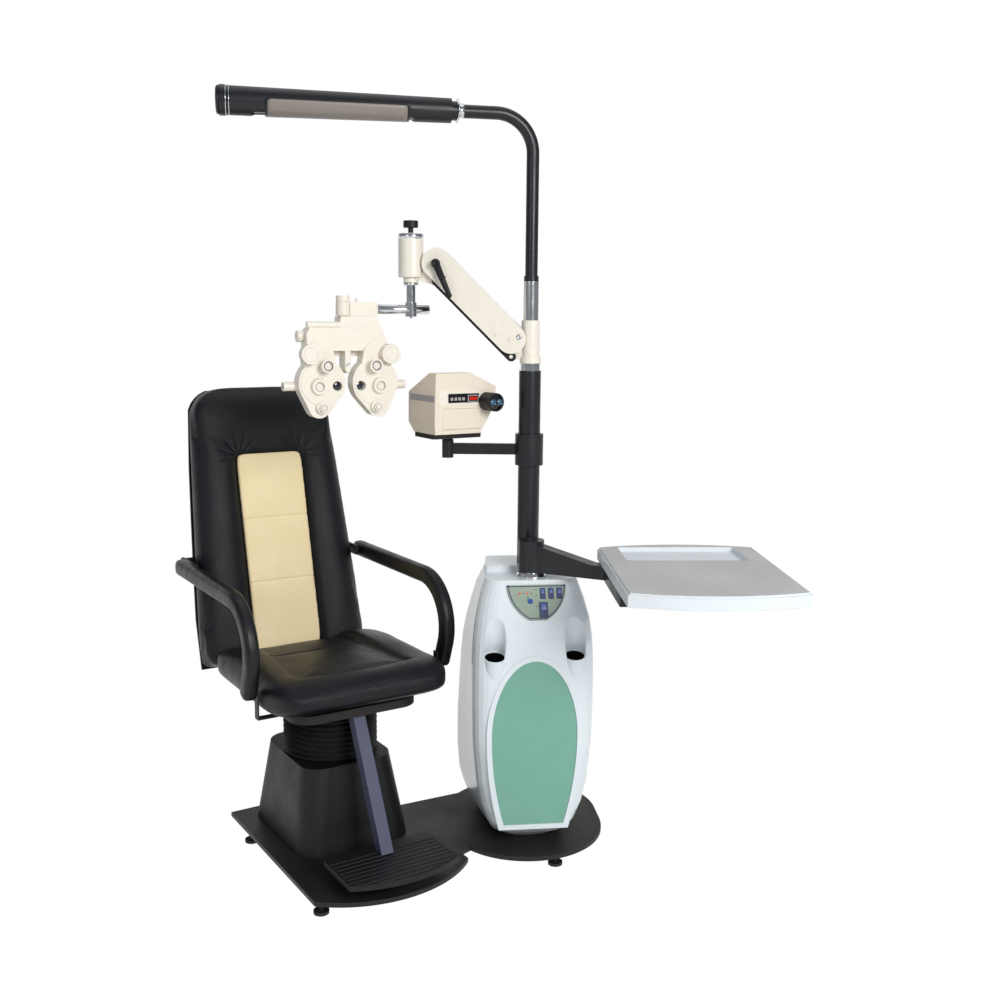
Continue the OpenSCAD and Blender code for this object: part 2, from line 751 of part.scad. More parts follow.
// Shares of the console: height, half width at the front and at the back, front reach, back reach, corner
console_shares = [[0, 0.5, 0.66, 0.43, 0.80, 0.4], [0.015, 0.56, 0.72, 0.52, 0.86, 0.4],
    [0.04, 0.6, 0.79, 0.74, 0.92, 0.37], [0.068, 0.64, 0.85, 0.90, 0.95, 0.35],
    [0.095, 0.68, 0.9, 1, 0.97, 0.34], [0.156, 0.78, 0.97, 1, 0.985, 0.33],
    [0.25, 0.86, 1, 1, 1, 0.32], [0.4, 0.915, 1, 1, 1, 0.31], [0.544, 0.925, 0.97, 1, 1, 0.31],
    [0.65, 0.925, 0.945, 1, 1, 0.31], [0.72, 0.92, 0.915, 0.995, 1, 0.31],
    [0.79, 0.905, 0.86, 0.97, 1, 0.31], [0.86, 0.87, 0.785, 0.898, 0.97, 0.3],
    [0.93, 0.8, 0.71, 0.699, 0.9, 0.28], [1, 0.7, 0.6, 0.5, 0.76, 0.24]];
console_h = deck_z - plate_top;
last_row = len(console_shares) - 1;

// Ring of a round-cornered plan with its own half width at the front and at the back, k steps a corner
function ring_taper(front, back, y0, y1, r, z, k = 6) = [
    for (corner = [[1, 1, 0], [-1, 1, 90], [-1, -1, 180], [1, -1, 270]], i = [0:k])
        let (a = corner[2] + 90 * i / k, half = corner[1] > 0 ? back : front, hy = (y1 - y0) / 2)
        [corner[0] * (half - r) + r * cos(a), (y0 + y1) / 2 + corner[1] * (hy - r) + r * sin(a), z]];

function console_ring(row, inset, z) = ring_taper(
    row[1] * console_half - inset, row[2] * console_half - inset, -row[3] * console_front + inset,
    row[4] * console_back - inset, row[5] * console_half - inset, z);

module console_form(inset) {
    loft([for (i = [0:last_row])
        let (row = console_shares[i], shift = i == last_row ? -inset : i == 0 && inset > 0 ? -over : 0)
        console_ring(row, inset, plate_top + row[0] * console_h + shift)]);
}

// Outline of the front panel: half an ellipse on top, sides drawn in below the widest line
wide_share = 0.54;
foot_share = 0.7;
panel_steps = 60;

module panel_outline(grow) {
    wide = wide_share * panel_h;
    arch = panel_h - wide;
    draw = panel_half * (1 - foot_share);
    polygon(concat(
        [for (i = [0:panel_steps]) let (a = 180 * i / panel_steps)
            [(panel_half + grow) * cos(a), wide + (arch + grow) * sin(a)]],
        [for (s = [-1, 1], i = [1:panel_steps / 2]) let (t = (s < 0 ? i : panel_steps / 2 - i + 1) * 2 / panel_steps)
            [s * (panel_half + grow - draw * t * t), wide - (wide + grow) * t]]));
}

facet_rows = [last_row - 2, last_row];
facet_rise = console_h * (console_shares[facet_rows[1]][0] - console_shares[facet_rows[0]][0]);
facet_run = console_front * (console_shares[facet_rows[0]][3] - console_shares[facet_rows[1]][3]);
facet_tilt = atan(facet_run / facet_rise);
facet_y = -console_shares[last_row][3] * console_front;
key_travel = 2;
panel_plate_t = 4;
ledge = 3;
shield_half = 80;
shield_drop = 98;
shield_x = 8;
facet_in = 14;

// Frame of the sloped control facet: origin at the shield's top edge, Y up the slope, Z out of it
module at_keys() {
    at_console() translate([0, facet_y, deck_z]) rotate([90 - facet_tilt, 0, 0])
        translate([shield_x, -facet_in, 0]) children();
}

module shield_outline(grow) {
    side_r = 1.15 * shield_drop;
    intersection() {
        translate([shield_half - side_r, 0]) circle(side_r + grow, $fn = 128);
        translate([side_r - shield_half, 0]) circle(side_r + grow, $fn = 128);
        translate([-shield_half - grow, -shield_drop - grow])
            square([2 * (shield_half + grow), shield_drop + 2 * grow]);
    }
}

// Keys on the facet, from the middle of the shield's top edge
key_w = 14;
key_l = 30;
key_pitch = 22.5;
keys_x = 16;
keys_y = -25;
large_w = 23;
large_l = 42;
large_y = -70;
button_r = 7;
button_x = -19;
button_y = -46;

module key_holes(depth, slack) {
    for (i = [0:2]) translate([keys_x + i * key_pitch, keys_y, -over])
        linear_extrude(depth + 2 * over) square([key_w + slack, key_l + slack], center = true);
    translate([keys_x, large_y, -over]) linear_extrude(depth + 2 * over)
        square([large_w + slack, large_l + slack], center = true);
    translate([button_x, button_y, -over]) cylinder(h = depth + 2 * over, r = button_r + slack / 2);
}

deck_hole_gap = 1;
ring_h = 12;
well_wall = 3;

// Frame of a well: origin in the middle of its mouth, Z out of it
module at_well(side) {
    at_console() translate([side * well_x, -well_y, well_z]) rotate([well_lean, 0, 0]) children();
}

ledge_h = 18;
scoop_step = 2;
scoop_h = 150;
border_t = 2.5;

// Moulded housing with its raised ledge behind the table pivot and a border round the front panel
module console_shell() {
    ledge_half = 0.66 * console_half;
    ledge_front = 30;
    ledge_back = 165;
    ledge_r = 12;
    recess = over + panel_t;
    color(pearl) difference() {
        at_console() difference() {
            union() {
                console_form(0);
                loft([for (i = [0, 1]) ring_taper(ledge_half - i, ledge_half * 0.88 - i, ledge_front + i,
                    ledge_back - i, ledge_r, deck_z + (i == 0 ? -wall : ledge_h))]);
                translate([0, -console_front - border_t, panel_z]) rotate([-90, 0, 0]) mirror([0, 1, 0])
                    linear_extrude(border_t + wall) panel_outline(border_w);
            }
            console_form(wall);
            translate([0, -console_front - border_t - over, panel_z]) rotate([-90, 0, 0]) mirror([0, 1, 0])
                linear_extrude(border_t + recess) panel_outline(gap);
        }
        at_column() translate([0, 0, plate_top]) cylinder(h = deck_z, r = column_r + deck_hole_gap);
        for (s = [-1, 1]) at_well(s) {
            translate([0, 0, -well_d - well_wall - gap]) cylinder(h = well_d + well_wall + gap, r = well_r + well_wall + gap);
            translate([0, 0, -well_wall - gap]) cylinder(h = scoop_h, r = well_r + scoop_step + well_wall + gap);
        }
        at_keys() translate([0, 0, -over * wall]) linear_extrude(2 * over * wall) shield_outline(-ledge);
    }
}

module front_panel() {
    color(green) at_console() translate([0, -console_front, panel_z]) rotate([-90, 0, 0]) mirror([0, 1, 0])
        linear_extrude(panel_t) panel_outline(0);
}

// Instrument well: drilled cup, with the scooped wall above its mouth trimmed to the face of the console
module well(side) {
    color(pearl) difference() {
        union() {
            at_well(side) translate([0, 0, -well_d - well_wall]) cylinder(h = well_d + well_wall, r = well_r + well_wall);
            intersection() {
                at_well(side) translate([0, 0, -well_wall])
                    cylinder(h = scoop_h - well_wall, r = well_r + scoop_step + well_wall);
                at_console() console_form(0);
            }
        }
        at_well(side) translate([0, 0, -well_d]) cylinder(h = well_d + over, r = well_r);
        at_well(side) cylinder(h = scoop_h, r = well_r + scoop_step);
    }
}

module well_left() { well(-1); }
module well_right() { well(1); }

module control_panel() {
    color("#93a291") at_keys() difference() {
        linear_extrude(panel_plate_t) shield_outline(0);
        key_holes(panel_plate_t, 2 * gap);
    }
}

// Key standing proud of the plate by its travel and a lip
module key_cap(x, y, w, l) {
    color(navy) at_keys() translate([x, y, 0]) linear_extrude(panel_plate_t + key_travel)
        round_rect(w, l, w / 8);
}

module key_left() { key_cap(keys_x, keys_y, key_w, key_l); }
module key_middle() { key_cap(keys_x + key_pitch, keys_y, key_w, key_l); }
module key_right() { key_cap(keys_x + 2 * key_pitch, keys_y, key_w, key_l); }
module key_large() { key_cap(keys_x, large_y, large_w, large_l); }
module round_button() {
    color("#3452a8") at_keys() translate([button_x, button_y, 0])
        cylinder(h = panel_plate_t + key_travel, r = button_r);
}

// Column

socket_depth = 60;

module main_column() {
    column_wall = 4;
    color(charcoal) at_column() difference() {
        translate([0, 0, plate_top]) cylinder(h = column_top - plate_top, r = column_r);
        translate([0, 0, plate_top - over]) cylinder(h = column_top - plate_top - socket_depth + over, r = column_r - column_wall);
        translate([0, 0, plate_top]) cylinder(h = column_top, r = socket_r + play);
    }
}

pole_depth = 80;

module pole_socket() {
    collar_h = 20;
    color(chrome) at_column() difference() {
        union() {
            translate([0, 0, column_top - socket_depth]) cylinder(h = socket_top - column_top + socket_depth, r = socket_r);
            translate([0, 0, column_top]) cylinder(h = collar_h, r = socket_r + 6);
        }
        translate([0, 0, column_top - socket_depth - over]) cylinder(h = socket_top, r = pole_r + play);
    }
}

// Table

sleeve_z = deck_z + ring_h + 3;
sleeve_h = table_z + 14 - sleeve_z;
sleeve_wall_t = 7;
sleeve_r = pivot_r + sleeve_wall_t;
table_under = table_z - table_t;
rail_w = 40;
rail_h = 38;
rail_l = 330;
table_yaw = -4;
table_mid = [371, -340];

module at_table() { at_console() translate(table_mid) rotate([0, 0, table_yaw]) children(); }
module at_pivot() { at_console() translate([pivot_x, -pivot_y, 0]) children(); }

// Pin on the deck that the table arm turns on, with its plated ring
module table_pivot() {
    ring_r = sleeve_r + 7;
    color(chrome) at_pivot() translate([0, 0, deck_z]) rotate_extrude() polygon([[0, 0], [ring_r, 0],
        [ring_r, ring_h / 3], [ring_r - ring_h / 2, ring_h], [pivot_r, ring_h],
        [pivot_r, sleeve_z + sleeve_h - sleeve_wall_t - gap - deck_z], [0, sleeve_z + sleeve_h - sleeve_wall_t - gap - deck_z]]);
}

rail_x = -table_w / 2 + rail_w / 2 + 6;
rail_y = 55;

module table_arm() {
    arm_t = 40;
    end = [table_mid[0] - pivot_x + rail_x * cos(table_yaw) - rail_y * sin(table_yaw),
           table_mid[1] + pivot_y + rail_x * sin(table_yaw) + (rail_y + rail_l / 2 - rail_w) * cos(table_yaw)];
    reach = norm(end);
    heading = atan2(end[1], end[0]);
    color(black) difference() {
        union() {
            at_pivot() translate([0, 0, sleeve_z]) cylinder(h = sleeve_h, r = sleeve_r);
            at_pivot() rotate([0, 0, heading]) translate([0, arm_t / 2, 0]) rotate([90, 0, 0])
                linear_extrude(arm_t) polygon([[0, sleeve_z], [reach, sleeve_z + sleeve_h * 0.02], [reach, table_under],
                                               [reach - rail_w, table_under], [0, sleeve_z + sleeve_h * 0.93]]);
            at_table() translate([rail_x - rail_w / 2, rail_y - rail_l / 2, table_under - rail_h])
                cube([rail_w, rail_l, rail_h]);
        }
        at_pivot() translate([0, 0, sleeve_z - over]) cylinder(h = sleeve_h - sleeve_wall_t + over, r = pivot_r + play);
    }
}

// Table top: bowed front and back edges, rounded corners, tray sunk near the back
module table_outline(inset) {
    bow_r = 620;
    intersection() {
        round_rect(table_w - 2 * inset, table_d - 2 * inset, 34);
        translate([0, bow_r - table_d / 2]) circle(bow_r - inset, $fn = 192);
        translate([0, -bow_r + table_d / 2]) circle(bow_r - inset, $fn = 192);
    }
}

tray_w = 318;
tray_d = 168;
tray_back = 40;

module table_top() {
    lip = 5;
    color(grey) at_table() translate([0, 0, table_under]) difference() {
        union() {
            linear_extrude(table_t - lip) table_outline(0);
            linear_extrude(table_t) table_outline(lip);
        }
        translate([0, table_d / 2 - tray_back - tray_d / 2, table_t - tray_t])
            round_slab(tray_w, tray_d, tray_t + over, 12);
    }
}

// Lamp

pole_stop = 14;

module at_lamp() { at_column() rotate([0, 0, lamp_turn]) children(); }

// Bent tube: riser, bend and level end, bored through at the level end
module lamp_pole() {
    pole_wall = 2.5;
    riser = pole_z - pole_bend - socket_top + pole_depth;
    color(charcoal) at_lamp() {
        translate([0, 0, socket_top - pole_depth]) cylinder(h = riser, r = pole_r);
        translate([pole_bend, 0, pole_z - pole_bend]) rotate([90, 0, 0]) rotate([0, 0, 90])
            rotate_extrude(angle = 90) translate([pole_bend, 0]) circle(pole_r);
        translate([pole_bend, 0, pole_z]) rotate([0, 90, 0]) cylinder(h = lamp_start + socket_depth - pole_bend, r = pole_r);
        translate([0, 0, socket_top + gap]) cylinder(h = pole_stop, r = socket_r - 1);
    }
}

lamp_wall = 3;
slot_half = 21;
slot_start = 96;
slot_l = 410;

module lamp_housing() {
    cap_l = 16;
    color(charcoal) at_lamp() translate([lamp_start, 0, pole_z]) rotate([0, 90, 0]) difference() {
        union() {
            cylinder(h = lamp_l, r1 = lamp_r1, r2 = lamp_r2);
            translate([0, 0, lamp_l - cap_l]) cylinder(h = cap_l, r = lamp_r2 + 1.5);
            translate([0, 0, -cap_l]) cylinder(h = cap_l, r = pole_r + 7);
        }
        translate([0, 0, socket_depth + over]) cylinder(h = lamp_l - socket_depth - cap_l, r1 = lamp_r1 - lamp_wall, r2 = lamp_r2 - lamp_wall);
        translate([0, 0, -cap_l - over]) cylinder(h = socket_depth + cap_l + over, r = pole_r + play);
        translate([lamp_r2, 0, slot_start + slot_l / 2]) rotate([90, 0, 90]) translate([0, 0, -lamp_r2])
            linear_extrude(2 * lamp_r2) round_rect(2 * slot_half, slot_l, slot_half / 2);
    }
}

// Opal strip that closes the slot from inside
module lamp_diffuser() {
    color("#b9b2a8") at_lamp() translate([lamp_start + slot_start + gap, 0, pole_z]) rotate([0, 90, 0])
        intersection() {
            difference() {
                cylinder(h = slot_l - 2 * gap, r = lamp_r1 - lamp_wall - gap);
                translate([0, 0, -over]) cylinder(h = slot_l + 2 * over, r = lamp_r1 - 2 * lamp_wall);
            }
            translate([lamp_r1 * 0.5, -slot_half, 0]) cube([lamp_r1, 2 * slot_half, slot_l - 2 * gap]);
        }
}

module lamp_tube() {
    tube_r = 8;
    holder_l = 14;
    color("#f4f2ea") at_lamp() translate([lamp_start + socket_depth + over, 0, pole_z]) rotate([0, 90, 0]) {
        cylinder(h = lamp_l - socket_depth - 16, r = tube_r);
        for (z = [gap, lamp_l - socket_depth - 16 - holder_l]) translate([0, 0, z]) cylinder(h = holder_l, r = tube_r * 1.6);
    }
}

// Refractor arm

sleeve_wall = 4;
collar_wall = 8;
sleeve_low = column_top + 20 + gap;
sleeve_top = socket_top - 104;
collar_l = 18;
ear_half = 12;
ear_r = 18;
pin_r = 7;
link_pin_r = 5;
link_drop = 48;
link_half = 13;
link_bar = 4;
link_w = ear_half + 2 * link_bar + gap;
plate_wall = 3.5;
cheek = arm_box / 2 - plate_wall;

// Outline of a belt laid round two circles
module belt(a, ra, b, rb) {
    d = norm(b - a);
    u = (b - a) / d;
    lean = acos((ra - rb) / d);
    side = [for (s = [-1, 1]) [u[0] * cos(lean) - s * u[1] * sin(lean), u[1] * cos(lean) + s * u[0] * sin(lean)]];
    translate(a) circle(ra);
    translate(b) circle(rb);
    polygon([a + ra * side[0], a + ra * side[1], b + rb * side[1], b + rb * side[0]]);
}

// Plate of thickness t standing in the X-Z plane, centred on Y
module upright(t) { rotate([90, 0, 0]) translate([0, 0, -t / 2]) linear_extrude(t) children(); }

// Frame of the swinging arm: +X out along it
module at_swing() { at_column() rotate([0, 0, arm_yaw]) children(); }

// Frame of the arm's lower pivot, +X along the arm
module at_root() { at_swing() translate([root_x, 0, root_z]) rotate([0, -arm_rise, 0]) children(); }

head_pivot = [root_x + arm_span * cos(arm_rise), root_z + arm_span * sin(arm_rise)];
rod_x = head_pivot[0] + head_x;

module cross_pin(r, l) { rotate([90, 0, 0]) cylinder(h = l, r = r, center = true); }

// Lugs and pins of one end: the cover's pin and the link's pin one drop below it
module pivot_lugs(reach) {
    upright(2 * ear_half) {
        belt([0, 0], ear_r, [0, -link_drop], ear_r * 0.7);
        belt([0, 0], ear_r, [reach, 0], ear_r);
        belt([0, -link_drop], ear_r * 0.7, [reach, -link_drop * 0.7], ear_r * 0.7);
    }
    cross_pin(pin_r, arm_box + 2 * plate_wall);
    translate([0, 0, -link_drop]) cross_pin(link_pin_r, 2 * link_w);
}

module arm_sleeve() {
    outer = socket_r + sleeve_wall;
    color(ivory) at_swing() difference() {
        union() {
            translate([0, 0, sleeve_low]) cylinder(h = sleeve_top - sleeve_low, r = outer);
            translate([0, 0, sleeve_low]) cylinder(h = collar_l, r = socket_r + collar_wall);
            translate([root_x, 0, root_z]) pivot_lugs(-root_x + sleeve_wall);
        }
        translate([0, 0, sleeve_low - over]) cylinder(h = sleeve_top - sleeve_low + 2 * over, r = socket_r + play);
    }
}

// Pressed cover: two side plates and a top web, open below
module arm_cover() {
    web_start = arm_end_r * 0.8;
    bolt_r = 5;
    color(ivory) at_root() {
        difference() {
            upright(arm_box) belt([0, 0], arm_end_r, [arm_span, 0], arm_end_r);
            upright(2 * cheek) translate([-2 * arm_end_r, -2 * arm_end_r])
                square([arm_span + 4 * arm_end_r, 3 * arm_end_r - plate_wall]);
            upright(2 * cheek) translate([-2 * arm_end_r, 0]) square([2 * arm_end_r + web_start, 2 * arm_end_r]);
            upright(2 * cheek) translate([arm_span - web_start / 2, 0]) square([2 * arm_end_r, 2 * arm_end_r]);
            for (x = [0, arm_span]) translate([x, 0, 0]) cross_pin(pin_r + play, arm_box + over);
        }
        translate([arm_span * 0.13, arm_box / 2, -arm_end_r * 0.5]) rotate([-90, 0, 0]) cylinder(h = bolt_r / 2, r = bolt_r);
    }
}

// Lower link of the parallelogram: two bars joined by a web along the middle
module arm_link() {
    web = [0.24, 0.76];
    color(black) at_swing() translate([root_x, 0, root_z - link_drop]) rotate([0, -arm_rise, 0]) {
        for (s = [-1, 1]) difference() {
            translate([0, s * (ear_half + gap + link_bar / 2 + link_bar / 4), 0]) upright(link_bar * 1.5)
                belt([0, 0], link_half, [arm_span, 0], link_half);
            for (x = [0, arm_span]) translate([x, 0, 0]) cross_pin(link_pin_r + play, arm_box);
        }
        translate([arm_span * web[0], -ear_half - link_bar, -link_half])
            cube([arm_span * (web[1] - web[0]), 2 * (ear_half + link_bar), link_bar]);
    }
}

head_low = head_pivot[1] - 38;
head_top = head_pivot[1] + 68;
trim_h = 14;
rod_top = head_top - 2 * trim_h;

// Head: lugs to the arm, bored barrel for the drop rod, plated rings above and below
module head_block() {
    color(ivory) at_swing() difference() {
        union() {
            translate([rod_x, 0, head_low]) cylinder(h = head_top - head_low, r = head_cyl_r);
            translate([rod_x, 0, head_low - trim_h]) cylinder(h = trim_h, r = head_cyl_r * 0.6);
            translate([rod_x, 0, head_top]) cylinder(h = trim_h * 0.7, r = head_cyl_r - 2);
            translate([head_pivot[0], 0, head_pivot[1]]) pivot_lugs(head_x - rod_r * 2);
        }
        translate([rod_x, 0, head_low - trim_h - over]) cylinder(h = rod_top + gap - head_low + trim_h + over, r = rod_r + play);
        translate([rod_x, 0, head_low]) cylinder(h = 4 * head_cyl_r, r = knob_stem_r + play);
    }
}

lever_l = 46;
lever_lean = 16;
knob_stem_r = 7;

// Clamp lever on the upper pivot: hub, arm and grip
module clamp_lever() {
    hub = 10;
    hub_r = 9;
    color(black) at_swing() translate([head_pivot[0], arm_box / 2 + plate_wall + gap, head_pivot[1]]) {
        rotate([-90, 0, 0]) cylinder(h = hub, r = hub_r);
        translate([0, hub * 0.3, 0]) rotate([90, 0, 0]) mirror([0, 0, 1]) linear_extrude(hub * 0.6)
            belt([0, 0], hub_r * 0.8, lever_l * [sin(lever_lean), -cos(lever_lean)], hub_r * 0.55);
    }
}

module height_knob() {
    knob_h = 18;
    knob_r = 20;
    stem_h = 16;
    z = head_top + trim_h * 0.7 + stem_h;
    color(black) at_swing() translate([rod_x, 0, 0]) {
        translate([0, 0, z]) cylinder(h = knob_h, r = knob_r);
        translate([0, 0, head_top - stem_h]) cylinder(h = z - head_top + stem_h, r = knob_stem_r);
    }
}

bar_r = 12;
clamp_half = 19;

// Plated rod that turns in the head, with the cross clamp at its lower end
module drop_rod() {
    clamp_r = rod_r + 3.5;
    screw_r = 4;
    color(chrome) at_swing() difference() {
        translate([rod_x, 0, 0]) {
            translate([0, 0, cross_z]) cylinder(h = rod_top - cross_z, r = rod_r);
            translate([0, 0, cross_z - clamp_half]) cylinder(h = 2 * clamp_half, r = clamp_r);
            translate([0, 0, cross_z - clamp_half - screw_r]) cylinder(h = 2 * screw_r, r = screw_r);
        }
        at_bar_only() translate([-clamp_half * 2, 0, 0]) rotate([0, 90, 0]) cylinder(h = 4 * clamp_half, r = bar_r + play);
    }
}

// Turn from the swing frame to the bar: +X towards the refractor
module at_bar_only() {
    translate([rod_x, 0, cross_z]) rotate([0, 0, 180 + refractor_yaw - arm_yaw]) children();
}

module at_bar() { at_swing() at_bar_only() children(); }

post_r = 14;
block_l = 78;
block_h = 36;

// Cross bar with the clamp block that holds the refractor's post
module cross_bar() {
    tail = 52;
    screw_r = 5;
    post_wall = 5;
    color(chrome) at_bar() difference() {
        union() {
            translate([-tail, 0, 0]) rotate([0, 90, 0]) cylinder(h = post_x + tail - post_r - post_wall, r = bar_r);
            translate([post_x - block_l - post_r, -block_h / 2, -block_h / 2]) cube([block_l, block_h, block_h]);
            translate([post_x, 0, -block_h / 2]) cylinder(h = block_h, r = post_r + post_wall);
            translate([post_x - block_l * 0.5, 0, block_h / 2]) cylinder(h = 2 * screw_r, r1 = screw_r, r2 = screw_r / 2);
        }
        translate([post_x, 0, -block_h]) cylinder(h = 2 * block_h, r = post_r + play);
    }
}

// Refractor

// Frame of the refractor: post axis, height of the eye holes, -Y to the examiner
module at_refractor() { at_bar() translate([post_x, 0, eye_z - cross_z]) rotate([0, 0, 180]) children(); }

post_z = cross_z - eye_z;
beam_low = 92;
beam_top = 152;
beam_front = -34;
beam_back = 12;
neck_w = 15;
beam_end_share = 1.22;
rail_t = 10;
rail_z = beam_low - 16;
disc_x = pupil / 2 + 41;
front_y = -42;

module refractor_mount() {
    cap_h = 16;
    foot = beam_top - 24;
    color(ivory) at_refractor() {
        translate([0, 0, foot]) cylinder(h = post_z + block_h / 2 + cap_h - foot, r = post_r);
        translate([0, 0, post_z + block_h / 2 + gap]) cylinder(h = cap_h, r = post_r + 4);
        translate([0, 0, foot]) cylinder(h = beam_top + 6 - foot, r = post_r + 4);
    }
}

// Beam with its slide rail, the neck between the batteries and the tube housing on top
module refractor_frame() {
    depth = beam_back - beam_front;
    tube_r = 9;
    color(ivory) at_refractor() difference() {
        union() {
            translate([0, (beam_front + beam_back) / 2, 0]) upright(depth) polygon([
                [-1.2, 1], [-beam_end_share, 1.1], [-beam_end_share, 1.5], [-1.12, beam_top / beam_low],
                [-0.22, beam_top / beam_low], [-0.2, 1.97], [0.88, 1.97], [1.2, 1.3], [1.25, 1]] * beam_low);
            translate([-beam_low * 1.18, beam_front + tube_r, beam_top + tube_r * 0.8]) rotate([0, 90, 0])
                cylinder(h = beam_low, r = tube_r);
            translate([0, (beam_front + beam_back) / 2, 0]) upright(depth) polygon([
                [-neck_w / 2, beam_low], [-neck_w / 2, pupil * 0.6], [0, pupil * 0.5], [neck_w / 2, pupil * 0.6], [neck_w / 2, beam_low]]);
            translate([-beam_low * 1.2, -rail_t / 2 + beam_back - rail_t, rail_z]) cube([beam_low * 2.4, rail_t, beam_low - rail_z]);
        }
        translate([0, 0, beam_top - 24]) cylinder(h = beam_top, r = post_r + 4 + play);
        translate([-beam_low * beam_end_share - over, 0, beam_top * 0.85]) rotate([0, 90, 0])
            cylinder(h = beam_low * 0.2 + over, r = pd_stem_r + play);
    }
}

pd_stem_r = 4;

// Knurled knob that sets the distance between the batteries
module pd_knob() {
    knob_r = 15;
    knob_l = 16;
    color(ivory) at_refractor() translate([-beam_low * beam_end_share - gap, 0, beam_top * 0.85]) rotate([0, -90, 0]) {
        translate([0, 0, -beam_low * 0.2]) cylinder(h = beam_low * 0.2 + over, r = pd_stem_r);
        linear_extrude(knob_l) difference() {
            circle(knob_r);
            for (a = [0:30:330]) rotate(a) translate([knob_r, 0]) circle(1.4, $fn = 12);
        }
    }
}

// Places on a battery, seen from its eye hole: [outward, up, radius, bore of its stem]
ring_at = [34, 54];
disc_at = [52, 0];
knob_at = [43, -55];
drum_at = [78, 84];
hole_r = 13;

// Teardrop housing of one lens battery, hung from the slide rail
module battery(side) {
    body = [disc_x, 8];
    lobe = [disc_x + 8, -54];
    skin = 3;
    end_r = 12;
    end_l = 36;
    end_y = 8;
    color(ivory) at_refractor() mirror([side < 0 ? 1 : 0, 0, 0]) difference() {
        union() {
            translate([0, front_y + battery_t / 2, 0]) upright(battery_t) {
                belt(body, battery_r, lobe, battery_r * 0.46);
                belt(body, battery_r * 0.72, [disc_x + 6, 78], battery_r * 0.62);
            }
            translate([body[0], front_y - skin + battery_t / 2, body[1]]) cross_pin(battery_r - 6, battery_t - skin);
            translate([body[0] + battery_r - skin, -end_y, 0]) rotate([0, 90, 0]) cylinder(h = end_l, r = end_r);
        }
        translate([pupil / 2, 0, 0]) cross_pin(hole_r, 4 * battery_t);
        translate([body[0] + battery_r, -end_y, 0]) rotate([0, 90, 0]) cylinder(h = end_l, r = end_r * 0.7);
        translate([-beam_low, -rail_t * 1.5 + beam_back - play, rail_z - play]) cube([4 * beam_low, rail_t + 2 * play, 2 * beam_low]);
        translate([-beam_low, beam_front - play, beam_low - play]) cube([4 * beam_low, 4 * battery_t, beam_low]);
        for (p = [ring_at, disc_at, knob_at, drum_at]) translate([pupil / 2 + p[0], 0, p[1]]) cross_pin(stem_r + play, 4 * battery_t);
    }
}

module battery_left() { battery(-1); }
module battery_right() { battery(1); }

stem_r = 3.5;

// A turning piece on the front of a battery: stem in the housing, then the child outside it
module on_battery(side, place, y) {
    stem_l = 7;
    at_refractor() mirror([side < 0 ? 1 : 0, 0, 0]) translate([pupil / 2 + place[0], y, place[1]]) rotate([90, 0, 0]) {
        translate([0, 0, -stem_l]) cylinder(h = stem_l + 1, r = stem_r);
        children();
    }
}

face_y = front_y - 1.5 - gap;

module sphere_dial(side) {
    drum_r = 26;
    drum_l = 24;
    color(ivory) on_battery(side, drum_at, front_y - gap) {
        linear_extrude(drum_l) difference() {
            circle(drum_r);
            for (a = [0:15:345]) rotate(a) translate([drum_r, 0]) circle(1.2, $fn = 12);
        }
    }
}

module aux_dial(side) {
    dial_r = 23;
    color(ivory) on_battery(side, disc_at, face_y) difference() {
        cylinder(h = 12, r1 = dial_r, r2 = dial_r - 3);
        translate([0, 0, 6]) cylinder(h = 12, r = dial_r / 2);
    }
}

module cylinder_knob(side) {
    knob_r = 17;
    color(ivory) on_battery(side, knob_at, face_y) {
        cylinder(h = 8, r = knob_r);
        cylinder(h = 18, r = knob_r - 6);
    }
}

module cross_lens(side) {
    ring_r = 18;
    glass_r = 13;
    color(ivory) on_battery(side, ring_at, face_y) {
        cylinder(h = 20, r = stem_r + 3);
        translate([0, 0, 20]) difference() {
            cylinder(h = 8, r = ring_r);
            translate([0, 0, 3]) cylinder(h = 8, r = glass_r);
        }
    }
}

module sphere_dial_left() { sphere_dial(-1); }
module sphere_dial_right() { sphere_dial(1); }
module aux_dial_left() { aux_dial(-1); }
module aux_dial_right() { aux_dial(1); }
module cylinder_knob_left() { cylinder_knob(-1); }
module cylinder_knob_right() { cylinder_knob(1); }
module cross_lens_left() { cross_lens(-1); }
module cross_lens_right() { cross_lens(1); }

// Projector

hub_h = 50;
hub_r = 16;
spigot_r = 8;
clamp_h = 86;

module at_bracket() { at_column() rotate([0, 0, bracket_turn]) translate([0, 0, bracket_z]) children(); }

// Frame of the projector: its pin's axis, -Y to where it looks
module at_projector() { at_bracket() translate([bracket_reach, 0, 0]) rotate([0, 0, chair_turn - bracket_turn]) children(); }

module projector_bracket() {
    clamp_r = column_r + 9;
    arm_h = 30;
    arm_t = 16;
    color(charcoal) at_bracket() difference() {
        union() {
            translate([0, 0, -clamp_h / 2]) cylinder(h = clamp_h, r = clamp_r);
            translate([0, -arm_t / 2, -arm_h / 2]) cube([bracket_reach, arm_t, arm_h]);
            translate([bracket_reach, 0, -hub_h / 2]) cylinder(h = hub_h, r = hub_r);
        }
        translate([0, 0, -clamp_h]) cylinder(h = 2 * clamp_h, r = column_r + play);
        translate([bracket_reach, 0, -hub_h / 2 - over]) cylinder(h = hub_h + 2 * over, r = spigot_r + play);
    }
}

tray_h = 14;
tray_low = hub_h / 2 + 8;
body_l = 190;
body_x = 12;

